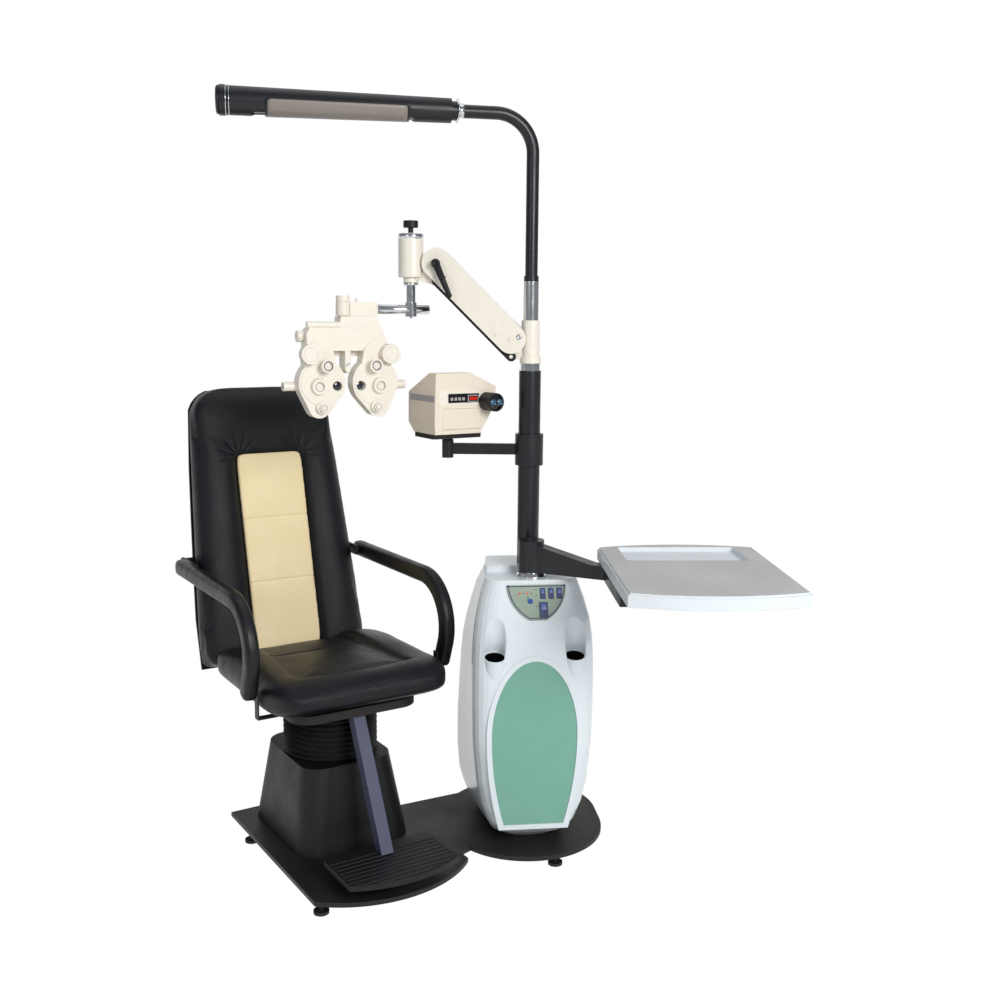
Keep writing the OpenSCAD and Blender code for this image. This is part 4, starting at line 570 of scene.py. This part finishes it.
# A rounded block stood on end, narrowing upwards; the bolsters bulge forward and the opening is sunk
def backGrid():
    b = back
    tall = (b["high"] - b["low"]) / 2
    g = roundedBlock([1, b["thick"] / 2 - 0.002, tall - 0.003], 0.34, 0.16, 220, 220)
    z = g[..., 2] + (b["high"] + b["low"]) / 2
    headRound = np.clip((z - (b["high"] - 0.084)) / 0.084, 0, 1)
    width = (backWidth(z) - 0.004) * (1 - 0.40 * (1 - np.sqrt(1 - headRound ** 2)))
    rear = smoothStep(g[..., 1], -0.01, b["thick"] / 2)   # the rear stays full, against the shell
    x = g[..., 0] * width
    x = x + np.sign(x) * rear * (width - np.abs(x)) * smoothStep(np.abs(g[..., 0]), 0.6, 0.9) * 0.9
    y = g[..., 1] + b["thick"] / 2
    front = smoothStep(-g[..., 1], 0.0, b["thick"] / 2 * 0.8)
    inner = b["insetHalf"] * 1.02
    share = np.clip((np.abs(x) - inner) / np.maximum(width - inner, 0.02), 0, 1)
    rest = 1 - smoothStep(z, b["insetHigh"] - 0.02, b["insetHigh"] + 0.06)
    roll = np.sin(np.pi * np.clip(share, 0, 1) ** 0.8) * rest
    head = smoothStep(z, b["insetHigh"] + 0.01,
                      b["insetHigh"] + 0.09) * (1 - smoothStep(z, 0.66, 0.78)) * (1 - (x / (width + 1e-6)) ** 4)
    y = y + front * (-b["bulge"] * (roll + 0.9 * head) + 0.020 * smoothStep(openEdge(x, z), -0.012, 0.004)
                     + 0.030 * smoothStep(z, 0.70, 0.80))
    return toChair(toBack(np.stack([x, y, z], -1)))


def holdBack(p):
    q = fromBack(fromChair(p))
    edge = np.abs(openEdge(q[:, 0], q[:, 2]))
    front = 1 - smoothStep(q[:, 1], 0.03, 0.05)
    inside = openEdge(q[:, 0], q[:, 2]) > -0.006
    rear = smoothStep(q[:, 1], back["thick"] - 0.02, back["thick"] - 0.008)
    return np.maximum(front * np.maximum(1 - smoothStep(edge, 0.004, 0.016), inside), rear)


backPiece = gridMesh("backPad", backGrid(), m["blackLeather"], None)
inflate(backPiece, back["voxel"], back["cap"], holdBack)
# Gathers: short creases that fan out from the opening's top corners
q = fromBack(fromChair(points(backPiece.data)))
for side in (-1, 1):
    dx, dz = q[:, 0] - side * (back["insetHalf"] - 0.012), q[:, 2] - (back["insetHigh"] - 0.012)
    reach = np.hypot(dx, dz)
    fan = np.arctan2(dz, dx * side)
    crease = (0.5 + 0.5 * np.cos(fan * 13 + 1.2)) ** 3 * np.exp(-((reach - 0.045) / 0.028) ** 2)
    near = (fan > -0.35) & (fan < 2.4) & (q[:, 1] < 0.03)
    pressSeam(backPiece, np.zeros(len(q)), 0.0032, 1, crease * near)
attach(backPiece, "chair")
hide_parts("backrest_cushion")

inset = {"half": 0.1025, "low": -0.033, "high": 0.5575, "thick": 0.020, "seams": (0.172, 0.362), "voxel": 0.0045,
         "cap": 0.005}


# Flat panel that narrows to nothing at its rim and crowns between its seams
def insetGrid():
    i = inset
    g = roundedBlock([i["half"], i["thick"] / 2, (i["high"] - i["low"]) / 2], 0.35, 0.10, 150, 120)
    z = g[..., 2] + (i["high"] + i["low"]) / 2
    return toChair(toBack(np.stack([g[..., 0], g[..., 1] + i["thick"] / 2 + 0.0015, z], -1)))


def holdInset(p):
    q = fromBack(fromChair(p))
    rim = np.minimum(inset["half"] - np.abs(q[:, 0]), inset["high"] - q[:, 2])
    seam = np.min([np.abs(q[:, 2] - s) for s in inset["seams"]], axis=0)
    return np.maximum(1 - smoothStep(np.minimum(rim, seam), 0.004, 0.012), smoothStep(q[:, 1], 0.012, 0.016))


insetPiece = gridMesh("insetPad", insetGrid(), m["beigeLeather"], None)
inflate(insetPiece, inset["voxel"], inset["cap"], holdInset, 3.0)
for s in inset["seams"]:
    q = fromBack(fromChair(points(insetPiece.data)))
    pressSeam(insetPiece, q[:, 2] - s, 0.0025, 0.003, 1 - smoothStep(q[:, 1], 0.008, 0.014))
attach(insetPiece, "chair")
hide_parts("backrest_inset")
print("backrest done")

# ---------- armrests: a rounded section carried up the leg, round the bend and back along the run

arm = {"wide": 0.038, "deep": 0.046, "inner": 0.2663, "high": 0.753, "bend": 0.130, "turn": 110, "run": 0.443,
       "leg": 0.070,
       "rear": 0.412}


def armPath():
    a = arm
    middle = np.array([a["rear"] - a["run"], a["high"] - a["bend"]])
    turn = np.radians(np.linspace(a["turn"], 0, 40))
    bendPoints = middle + a["bend"] * np.stack([-np.sin(turn), np.cos(turn)], -1)
    legWay = np.array([math.cos(turn[0]), math.sin(turn[0])])
    leg = bendPoints[0] - legWay * np.linspace(a["leg"], 0, 12, endpoint=False)[:, None]
    run = bendPoints[-1] + np.array([1, 0]) * np.linspace(0, a["run"], 40)[1:, None]
    return np.vstack([leg, bendPoints, run])


for side, name in ((-1, "left"), (1, "right")):
    path = armPath()
    way = np.gradient(path, axis=0)
    way /= np.linalg.norm(way, axis=1, keepdims=True)
    up = np.stack([-way[:, 1], way[:, 0]], -1)
    along = np.concatenate([[0], np.cumsum(np.linalg.norm(np.diff(path, axis=0), axis=1))])
    ends = np.minimum(along, along[-1] - along)
    close = np.sqrt(1 - (1 - np.clip(ends / 0.014, 0, 1)) ** 2) * 0.45 + 0.55   # rounded ends
    t = fullTurn(40)
    across = arm["wide"] / 2 * bent(np.cos(t), 0.62)[None, :] * close[:, None]
    rise = arm["deep"] / 2 * bent(np.sin(t), 0.62)[None, :] * close[:, None]
    x = side * (arm["inner"] + arm["wide"] / 2) + across
    grid = np.stack([x, path[:, None, 0] + up[:, None, 0] * rise, path[:, None, 1] + up[:, None, 1] * rise], -1)
    piece = gridMesh("armrestSkin" + name.capitalize(), toChair(grid), m["mouldedSkin"], "chair")
    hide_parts("armrest_" + name)
print("armrests done")

# ---------- finer pieces: each stands in a frame turned about the upright axis

# Points in a frame turned by an angle in degrees about the upright axis to the part's frame
def fromLocal(p, turn):
    return spun(np.asarray(p, float), math.radians(turn))


# The vertices of a node seen from such a frame
def nodeLocal(node, turn):
    return fromLocal(points(nodes[node].data), -turn)


# Small block with rounded edges: two nested rounded outlines at each face; low and high corners in a local frame
def block(name, low, high, round, material, body, turn=0):
    low, high = np.asarray(low, float), np.asarray(high, float)
    half, middle = (high - low) / 2, (high + low) / 2
    u = fullTurn(48)
    rows = []
    # each outline: its face, its draw inwards and its drop below the face, the last two as shares of the rounding
    for level, inward, drop in ((-1, 1, 0), (-1, 0.35, 0.3), (-1, 0, 1), (1, 0, 1), (1, 0.35, 0.3), (1, 1, 0)):
        z = level * (half[2] - round * drop)
        shrink = round * inward
        corner = min(half[0], half[1], max(round * 2, 1e-5))
        cx, cy = half[0] - corner, half[1] - corner
        x = np.sign(np.cos(u)) * cx + (corner - shrink * 0.5) * np.cos(u)
        y = np.sign(np.sin(u)) * cy + (corner - shrink * 0.5) * np.sin(u)
        rows.append(np.stack([x, y, np.full_like(u, z)], -1))
    return gridMesh(name, fromLocal(np.array(rows) + middle, turn), material, body, smooth=False)


# Ring of round section, thick being the section's radius
def ring(name, middle, axis, radius, thick, material, body):
    t = np.linspace(0, 2 * math.pi, 17)[:-1]
    profile = np.stack([radius + thick * np.cos(t), thick * np.sin(t)], -1)
    return turned(name, np.vstack([profile, profile[:1]]), middle, axis, material, body, 72, caps=False)


# Screw head: a low dome with a round recess
def screw(name, place, axis, r, body, finish="chrome"):
    turned(name,
           [[r, 0], [r, r * 0.35], [r * 0.86, r * 0.55], [r * 0.5, r * 0.62], [r * 0.45, r * 0.3], [0.0001, r * 0.3]],
           place, axis, m[finish], body, 24)


# Control panel: its own plane from the node's largest face
def planeOf(node):
    mesh = nodes[node].data
    areas = np.empty(len(mesh.polygons))
    normals = np.empty(len(mesh.polygons) * 3)
    mesh.polygons.foreach_get("area", areas)
    mesh.polygons.foreach_get("normal", normals)
    normals = normals.reshape(-1, 3)
    facing = (normals[:, 1] < -0.3) & (normals[:, 2] > 0)
    best = normals[np.argmax(np.where(facing, areas, 0))]
    out = best / np.linalg.norm(best)
    across = np.array([1.0, 0, 0])
    across -= out * across.dot(out)
    across /= np.linalg.norm(across)
    return out, across, np.cross(out, across)


panelOut, panelAcross, panelUp = planeOf("control_panel")
panelPoints = points(nodes["control_panel"].data)
flat = np.stack([panelPoints @ panelAcross, panelPoints @ panelUp], -1)
panelTop = (panelPoints @ panelOut).max()
panelMid = np.array([(flat[:, 0].min() + flat[:, 0].max()) / 2, flat[:, 1].max()])


# Point of the control panel: mm across from its middle, mm down from its top edge, mm proud of it
def onPanel(x, y, proud=0.0):
    x, y = np.asarray(x, float), np.asarray(y, float)
    return ((panelMid[0] + x[..., None] / 1000) * panelAcross + (panelMid[1] - y[..., None] / 1000) * panelUp
            + (panelTop + proud / 1000) * panelOut)


# Navy line round the shield: 2.6 mm wide, its outline drawn in by 3 mm
def shieldLine():
    p = (flat - panelMid) * 1000
    angles = fullTurn(120)
    centre = np.array([0, p[:, 1].min() * 0.42])
    ways = np.stack([np.cos(angles), np.sin(angles)], -1)
    support = np.array([np.max((p - centre) @ w) for w in ways])      # how far the outline reaches each way
    nextWay, nextDist = np.roll(ways, -1, 0), np.roll(support, -1)
    cross = ways[:, 0] * nextWay[:, 1] - ways[:, 1] * nextWay[:, 0]
    def corner(dist, nextD):
        return centre + np.stack([(dist * nextWay[:, 1] - nextD * ways[:, 1]) / cross,
                                  (nextD * ways[:, 0] - dist * nextWay[:, 0]) / cross], -1)
    outer, inner = corner(support - 3, nextDist - 3), corner(support - 5.6, nextDist - 5.6)
    rows = [onPanel(outer[:, 0], -outer[:, 1], -0.2), onPanel(outer[:, 0], -outer[:, 1], 0.35),
            onPanel(inner[:, 0], -inner[:, 1], 0.35), onPanel(inner[:, 0], -inner[:, 1], -0.2)]
    return gridMesh("panelLine", np.array(rows), m["printNavy"], "unit", caps=False, smooth=False)


shieldLine()
for i, (x, y, look) in enumerate(((-46, 24, "redSegment"), (-25, 24, "redSegment"), (-25, 36, "greenDot"))):
    turned("statusLamp%d" % (i + 1),
           [[2.6e-3, 0], [2.6e-3, 0.8e-3], [2.0e-3, 1.6e-3], [1.0e-3, 2.1e-3], [0.0001, 2.2e-3]],
           onPanel(x, y), panelOut, m[look], "unit", 20)
for i, (x, y) in enumerate(((-35, 24), (-14, 24), (-25, 46), (-2, 14), (-2, 30), (-2, 60))):
    low = onPanel(x, y)
    turned("panelMark%d" % (i + 1), [[1.6e-3, 0], [1.6e-3, 0.25e-3], [0.0001, 0.25e-3]], low, panelOut,
           m["scaleMark"], "unit", 16)
# Painted highlight: a paler patch over the upper part of each key stands for the light on its top
for name in ("key_left", "key_middle", "key_right", "key_large"):
    p = points(nodes[name].data)
    f = np.stack([p @ panelAcross, p @ panelUp], -1)
    top = (p @ panelOut).max()
    lo, hi = f.min(0), f.max(0)
    size = hi - lo
    u = fullTurn(40)
    rows = []
    for share, rise in ((1, -0.0002), (1, 0.0005), (0.92, 0.0008)):
        x = (lo[0] + hi[0]) / 2 + size[0] * 0.33 * share * bent(np.cos(u), 0.25)
        y = lo[1] + size[1] * 0.69 + size[1] * 0.2 * share * bent(np.sin(u), 0.25)
        rows.append(x[:, None] * panelAcross + y[:, None] * panelUp + (top + rise) * panelOut)
    gridMesh("window" + name.title().replace("_", ""), np.array(rows), m["keyHighlightPaint"], name + "_body")
print("control panel done")

# Projector: front band with the display, side stripe, lower panel and the two lens faces
projector = {"turn": 25.7, "front": 0.01134, "side": -0.0554}
pt = projector["turn"]
f = projector["front"]
side = projector["side"]
# name: low corner, high corner, rounding, finish
trim = {"projectorBand": ((-0.0435, f - 0.0010, 1.2495), (0.0800, f + 0.001, 1.2885), 0.0006, "ivoryEnamel"),
        "projectorDisplay": ((-0.0163, f - 0.0028, 1.2555), (0.0800, f - 0.0008, 1.2800), 0.0008, "blackGlass"),
        "readoutFrame": ((0.0440, f - 0.0036, 1.2572), (0.0772, f - 0.0026, 1.2758), 0.0006, "greyAbs"),
        "readoutGlass": ((0.0462, f - 0.0042, 1.2594), (0.0750, f - 0.0034, 1.2736), 0.0004, "blackGlass")}
for i in range(4):
    x = 0.0490 + i * 0.0062
    trim["readoutBar%d" % (i + 1)] = ((x, f - 0.0046, 1.2622), (x + 0.0042, f - 0.0041, 1.2708), 0.0003, "redSegment")
for i, x in enumerate((-0.010, 0.002, 0.014, 0.026)):
    trim["projectorKey%d" % (i + 1)] = ((x, f - 0.0040, 1.2620), (x + 0.008, f - 0.0026, 1.2700), 0.0006, "greyAbs")
trim["sideStripe"] = ((side - 0.0010, f + 0.0030, 1.2580), (side + 0.002, 0.150, 1.2750), 0.0005, "greyAbs")
trim["lowerPanel"] = ((-0.0330, f - 0.0014, 1.1830), (0.0860, f + 0.001, 1.2400), 0.0040, "beigeAbs")
for name, (low, high, round, look) in trim.items():
    block(name, low, high, round, m[look], "projector", turn=pt)
lensPoints = nodeLocal("projector_lens", pt)
front = lensPoints[lensPoints[:, 1] < lensPoints[:, 1].min() + 0.004]
lensMid = (front.min(0) + front.max(0)) / 2
lensR = (front[:, 0].max() - front[:, 0].min()) / 2
way = fromLocal([0, -1, 0], pt)
# The two lens faces: coated glass with the cyan glints painted into its colour
for i, x in enumerate((-0.42, 0.42)):
    r = lensR * 0.36
    place = fromLocal([lensMid[0] + x * lensR, lensPoints[:, 1].min() - 0.0005, lensMid[2]], pt)
    turned("lensFace%d" % (i + 1), [[r, -0.003], [r, 0.001], [r * 0.9, 0.0022], [r * 0.84, 0.001], [r * 0.55, 0.0026],
                                    [r * 0.2, 0.0034], [0.0001, 0.0035]],
           place, way, m["coatedGlassPaintedGlint"], "projector", 40)
turned("lensPlate", [[lensR * 0.9, -0.004], [lensR * 0.9, -0.0005], [0.0001, -0.0005]],
       fromLocal([lensMid[0], lensPoints[:, 1].min(), lensMid[2]], pt), way, m["blackGlass"], "projector", 48)
print("projector done")

# Refractor: its frame from the two large dials, the eye glasses, rims and engraved scales
refractor = {"turn": 21, "pupil": 0.062, "eye": 1.301}
rt = refractor["turn"]
dials = np.array([nodeLocal("sphere_dial_" + side, rt).mean(0) for side in ("left", "right")])
middleX = dials[:, 0].mean()
for s, side in ((-1, "left"), (1, "right")):
    body = side + "_battery"
    box = nodeLocal("battery_" + side, rt)
    faceY = np.percentile(box[:, 1], 2)
    eyeAt = [middleX + s * refractor["pupil"] / 2, faceY + 0.012, refractor["eye"]]
    front = fromLocal([0, -1, 0], rt)
    # Eye glass set inside each aperture: real lens glass, near black as painted shade of the hole behind it
    turned("eyeGlass" + side.capitalize(),
           [[0.0105, -0.004], [0.0105, 0], [0.008, 0.0012], [0.004, 0.0018], [0.0001, 0.002]],
           fromLocal(eyeAt, rt), front, m["lensGlassPaintedShade"], body, 36)
    for node, ringR, look in (("cross_lens_", 0.0115, "navyKey"), ("aux_dial_", 0.0118, "greyAbs"),
                              ("cylinder_knob_", 0.0070, "greyAbs")):
        q = nodeLocal(node + side, rt)
        face = q[:, 1].min()
        near = q[q[:, 1] < face + 0.002]
        at = [(near[:, 0].min() + near[:, 0].max()) / 2, face - 0.0002, (near[:, 2].min() + near[:, 2].max()) / 2]
        ring(node.replace("_", "") + "Line" + side.capitalize(), fromLocal(at, rt), front, ringR, 0.0009, m[look],
             node + side + "_body")
    q = nodeLocal("sphere_dial_" + side, rt)
    face = q[:, 1].min()
    at = np.array([dials[(s + 1) // 2][0], face, q[:, 2].mean()])
    for k in range(24):
        a = 2 * math.pi * k / 24
        long = 0.0036 if k % 4 == 0 else 0.0020
        c, d = math.cos(a), math.sin(a)
        base = np.array([[-0.00035, 0.0200 - long], [0.00035, 0.0200 - long], [0.00035, 0.0200], [-0.00035, 0.0200]])
        mark = np.stack([base[:, 0] * c - base[:, 1] * d, base[:, 0] * d + base[:, 1] * c], -1)
        rows = [fromLocal(np.stack([at[0] + mark[:, 0], np.full(4, at[1] + dy), at[2] + mark[:, 1]], -1), rt)
                for dy in (0.0002, -0.0002)]
        gridMesh("dialMark%s%d" % (side.capitalize(), k + 1), np.array(rows), m["scaleMark"],
                 "sphere_dial_" + side + "_body", smooth=False)
print("refractor done")

screw("neckScrew", fromLocal([middleX, 0.1121, 1.357], rt), fromLocal([0, -1, 0], rt), 0.005, "refractor")

# Reading lamp: opal window round the underside of the tapered housing, plated rings at both ends
lamp = {"root": (0.0072, 0.0409, 2.013), "tip": (-0.5979, -0.0153, 2.013), "rootR": 0.031, "tipR": 0.036,
        "window": (0.222, 0.800),
        "angles": (4, -104)}


def lampPoint(share, angle, proud):
    root, tip = np.array(lamp["root"]), np.array(lamp["tip"])
    way = (tip - root) / np.linalg.norm(tip - root)
    front = np.cross(way, [0, 0, 1.0])
    front = -front if front[1] > 0 else front
    r = lamp["rootR"] + (lamp["tipR"] - lamp["rootR"]) * share + proud
    a = np.radians(angle)
    out = (r * np.cos(a))[..., None] * front + (r * np.sin(a))[..., None] * np.array([0, 0, 1.0])
    return root + (tip - root) * share[..., None] + out


def lampPatch(name, shares, angles, proud, deep, look):
    s, a = np.meshgrid(np.linspace(*shares, 40), np.linspace(*angles, 24), indexing="ij")
    # rounded ends: the angles draw in towards the middle near both ends
    ends = np.minimum(s - shares[0], shares[1] - s) / 0.015
    middle = sum(angles) / 2
    a = middle + (a - middle) * (0.86 + 0.14 * np.sqrt(1 - (1 - np.clip(ends, 0, 1)) ** 2))
    outer, inner = lampPoint(s, a, proud), lampPoint(s, a, proud - deep)
    rows = np.concatenate([outer, inner[:, ::-1]], 1)
    gridMesh(name, rows, m[look], "lamp")


lampPatch("lampWindow", lamp["window"], lamp["angles"], 0.0012, 0.0030, "opalAcrylic")
lampPatch("lampRim", (lamp["window"][0] - 0.010, lamp["window"][1] + 0.010),
          (lamp["angles"][0] + 5, lamp["angles"][1] - 5),
          0.0006, 0.0020, "charcoalEnamel")
lampWay = np.array(lamp["tip"]) - np.array(lamp["root"])
lampWay /= np.linalg.norm(lampWay)
for name, share, r, thick in (("lampTipRing", 0.955, 0.0362, 0.0011), ("lampTipBand", 0.968, 0.0363, 0.0011),
                              ("lampRootRing", 0.002, 0.0300, 0.0013)):
    ring(name, np.array(lamp["root"]) + (np.array(lamp["tip"]) - np.array(lamp["root"])) * share, lampWay, r, thick,
         m["chrome"], "lamp")
turned("lampCap",
       [[0.0340, -0.004], [0.0352, 0.000], [0.0330, 0.0035], [0.0270, 0.0050], [0.0150, 0.0058], [0.0001, 0.0060]],
       lamp["tip"], lampWay, m["charcoalEnamel"], "lamp")
turned("lampCollar", [[0.0150, -0.016], [0.0185, -0.014], [0.0185, -0.003], [0.0165, 0.000], [0.0150, 0.001]],
       lamp["root"], lampWay, m["chrome"], "lamp")
print("lamp done")

# Bellows: a rubber copy of the folded sleeve, its foot on the cover and its top under the seat flange
sleeve = bpy.data.objects.new("bellowsSkin", nodes["bellows"].data.copy())
scene.collection.objects.link(sleeve)
sleeve.data.materials.clear()
sleeve.data.materials.append(m["rubber"])
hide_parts("bellows")
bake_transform(sleeve)
print("bellows done")

# Refractor arm: plated bands on the head, screws, and a longer tapered clamp lever on the hub
armTrim = {"bands": {"headTopBand": (1.6895, 1.7030), "headLowBand": (1.5665, 1.5745)}, "proud": 0.0006,
           "headR": 0.0345,
           "coverOut": (-0.156, -0.988, 0.0), "rootScrew": (0.1749, 0.0382, 1.4315), "rootR": 0.0075,
           "coverBolt": (-0.0233, 0.0696, 1.5891), "boltR": 0.0028}
headPoints = points(nodes["head_block"].data)
rodMid = np.array(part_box("drop_rod")).mean(0)


# Band round the head, at the widest point of the head between its two heights
def headBand(name, low, high):
    near = headPoints[(headPoints[:, 2] > low - 0.004) & (headPoints[:, 2] < high + 0.004)]
    far = np.hypot(near[:, 0] - rodMid[0], near[:, 1] - rodMid[1])
    r = np.max(far[far < armTrim["headR"]]) + armTrim["proud"]
    turned(name, [[r - 0.002, low], [r, low + 0.0008], [r, high - 0.0008], [r - 0.002, high]],
           (rodMid[0], rodMid[1], 0), (0, 0, 1), m["chrome"],
           "head", 64)


for name, (low, high) in armTrim["bands"].items():
    headBand(name, low, high)
coverOut = np.array(armTrim["coverOut"])
screw("rootScrew", armTrim["rootScrew"], coverOut, armTrim["rootR"], "arm")
screw("coverBolt", armTrim["coverBolt"], coverOut, armTrim["boltR"], "arm")

lever = {"length": 0.100, "lean": 24, "hubR": 0.0115, "tipR": 0.0055, "stand": 0.006}
hub = points(nodes["clamp_lever"].data)
hub = hub[hub[:, 2] > hub[:, 2].max() - 0.018].mean(0)
right = np.cross([0, 0, 1.0], coverOut)
right = right if right[0] > 0 else -right
lean = math.radians(lever["lean"])
down = math.sin(lean) * right - math.cos(lean) * np.array([0, 0, 1.0])
side = np.cross(down, coverOut)


# Tapered oval bar from the hub to its rounded tip, standing off the cover and bowed outwards a little
def leverGrid():
    t = np.linspace(0, 1, 40)[:, None]
    u = fullTurn(32)[None, :]
    r = lever["hubR"] * 0.78 * (1 - t) + lever["tipR"] * t
    r = r * np.sqrt(np.clip(1 - np.clip((t - 0.94) / 0.06, 0, 1) ** 2, 0.0004, 1))
    stand = lever["stand"] + 0.010 * smoothStep(t, 0.05, 0.5)
    middle = hub + coverOut * stand[..., None] + down * (t * lever["length"])[..., None]
    return middle + (r * 1.15 * np.cos(u))[..., None] * side + (r * 0.62 * np.sin(u))[..., None] * coverOut


gridMesh("leverGrip", leverGrid(), m["texturedAbs"], "lever")
turned("leverHub", [[0.0115, -0.004], [0.0120, 0.000], [0.0120, 0.012], [0.0105, 0.0145], [0.0060, 0.0150],
                    [0.0055, 0.0135], [0.0001, 0.0135]],
       hub, coverOut, m["texturedAbs"], "lever")
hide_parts("clamp_lever")

# Plated skin of the cross bar: a tube over its round part
barTurn = 21
barPoints = nodeLocal("cross_bar", barTurn)
end = barPoints[barPoints[:, 0] > barPoints[:, 0].max() - 0.004]
barR = (end[:, 2].max() - end[:, 2].min()) / 2 + 0.0004
barMid = [(end[:, 1].max() + end[:, 1].min()) / 2, (end[:, 2].max() + end[:, 2].min()) / 2]
start = barPoints[:, 0].min() + 0.110
long = barPoints[:, 0].max() - start
turned("barSkin",
       [[barR - 0.002, 0.0], [barR, 0.001], [barR, long - 0.002], [barR - 0.002, long + 0.0006],
        [0.0001, long + 0.0006]],
       fromLocal([start, barMid[0], barMid[1]], barTurn), fromLocal([1, 0, 0], barTurn), m["chrome"], "bar")
print("arm done")

# ---------- floor, light and camera

stageLook = {"floor": "#f4f4f4", "depth": 6.0, "wall": 5.0, "bend": 1.5, "lift": 1.05}


# Floor that bends up into a wall behind the object; the camera and mirrors see it white
def buildStage():
    s = stageLook
    t = np.linspace(0, math.pi / 2, 24)
    profile = np.vstack([[[-7, 0]], np.stack([s["depth"] + s["bend"] * np.sin(t), s["bend"] * (1 - np.cos(t))], -1),
                         [[s["depth"] + s["bend"], s["wall"]]]])
    x = np.linspace(-9, 9, 2)
    grid = np.stack([np.broadcast_to(x[None, :], (len(profile), 2)),
                     np.broadcast_to(profile[:, :1], (len(profile), 2)),
                     np.broadcast_to(profile[:, 1:], (len(profile), 2))], -1)
    material = bpy.data.materials.new("paperBackdrop")
    material.use_nodes = True
    tree = material.node_tree
    out = tree.nodes["Material Output"]
    plain = addNode(tree, "BsdfDiffuse", {"Color": linear(s["floor"])})
    glow = addNode(tree, "Emission", {"Color": (1, 1, 1, 1), "Strength": 1.0})
    ray = addNode(tree, "LightPath")
    seen = addNode(tree, "Math", {"operation": "MAXIMUM"},
                   {0: ray.outputs["Is Camera Ray"], 1: ray.outputs["Is Glossy Ray"]})
    seen = addNode(tree, "Math", {"operation": "MAXIMUM"},
                   {0: seen.outputs[0], 1: ray.outputs["Is Transmission Ray"]})
    part = addNode(tree, "Math", {"operation": "MULTIPLY", 1: s["lift"]}, {0: seen.outputs[0]})
    mixed = addNode(tree, "MixShader", {}, {0: part.outputs[0], 1: plain.outputs[0], 2: glow.outputs[0]})
    tree.links.new(mixed.outputs[0], out.inputs["Surface"])
    floor = meshPiece("floor", grid.reshape(-1, 3),
                      [[2 * i, 2 * i + 1, 2 * i + 3, 2 * i + 2] for i in range(len(profile) - 1)],
                      material, None)


def areaLight(name, place, target, size, power):
    light = bpy.data.lights.new(name, "AREA")
    light.shape = "RECTANGLE"
    light.size, light.size_y = size
    light.energy = power
    lamp = bpy.data.objects.new(name, light)
    way = np.array(target, float) - np.array(place, float)
    way /= np.linalg.norm(way)
    side = np.cross(way, [0, 0, 1])
    side /= np.linalg.norm(side)
    up = np.cross(side, way)
    lamp.matrix_world = Matrix([[side[i], up[i], -way[i], place[i]] for i in range(3)] + [[0, 0, 0, 1]])
    scene.collection.objects.link(lamp)


buildStage()
# name: place, target, size in metres, watts
lights = {"keyWindow": ((1.7, -3.7, 2.6), (0.0, 0, 0.9), (1.6, 1.6), 122),
          "fillWindow": ((-2.4, -3.2, 2.6), (-0.4, 0, 0.9), (1.6, 1.8), 18),
          "topPanel": ((0.2, 0.6, 4.2), (0, 0, 0), (3.0, 3.0), 24)}
for name, settings in lights.items():
    areaLight(name, *settings)
world = bpy.data.worlds.new("softRoom")
scene.world = world
world.use_nodes = True
tree = world.node_tree
ray = addNode(tree, "LightPath")
seen = addNode(tree, "Math", {"operation": "MAXIMUM"},
               {0: ray.outputs["Is Camera Ray"], 1: ray.outputs["Is Transmission Ray"]})
level = addNode(tree, "Mix", {"data_type": "RGBA", 6: (0.27, 0.28, 0.30, 1), 7: (1, 1, 1, 1)}, {0: seen.outputs[0]})
tree.links.new(level.outputs[2], tree.nodes["Background"].inputs["Color"])
tree.nodes["Background"].inputs["Strength"].default_value = 1.0

view = {"place": (-0.246, -3.034, 1.493), "yaw": math.radians(6.93), "pitch": math.radians(9.31),
        "roll": math.radians(0.54),
        "focal": 1136}
c, s = math.cos, math.sin
ahead = np.array([s(view["yaw"]) * c(view["pitch"]), c(view["yaw"]) * c(view["pitch"]), -s(view["pitch"])])
level = np.array([c(view["yaw"]), -s(view["yaw"]), 0])
upright = np.cross(level, ahead)
right = c(view["roll"]) * level + s(view["roll"]) * upright
upward = -s(view["roll"]) * level + c(view["roll"]) * upright
lens = bpy.data.cameras.new("photoCamera")
lens.lens = view["focal"] / 1000 * 36
lens.sensor_width = 36
camera = bpy.data.objects.new("photoCamera", lens)
camera.matrix_world = Matrix([[right[i], upward[i], -ahead[i], view["place"][i]] for i in range(3)] + [[0, 0, 0, 1]])
scene.collection.objects.link(camera)
scene.camera = camera
scene.view_settings.view_transform = "Standard"
print("stage, light and camera done")
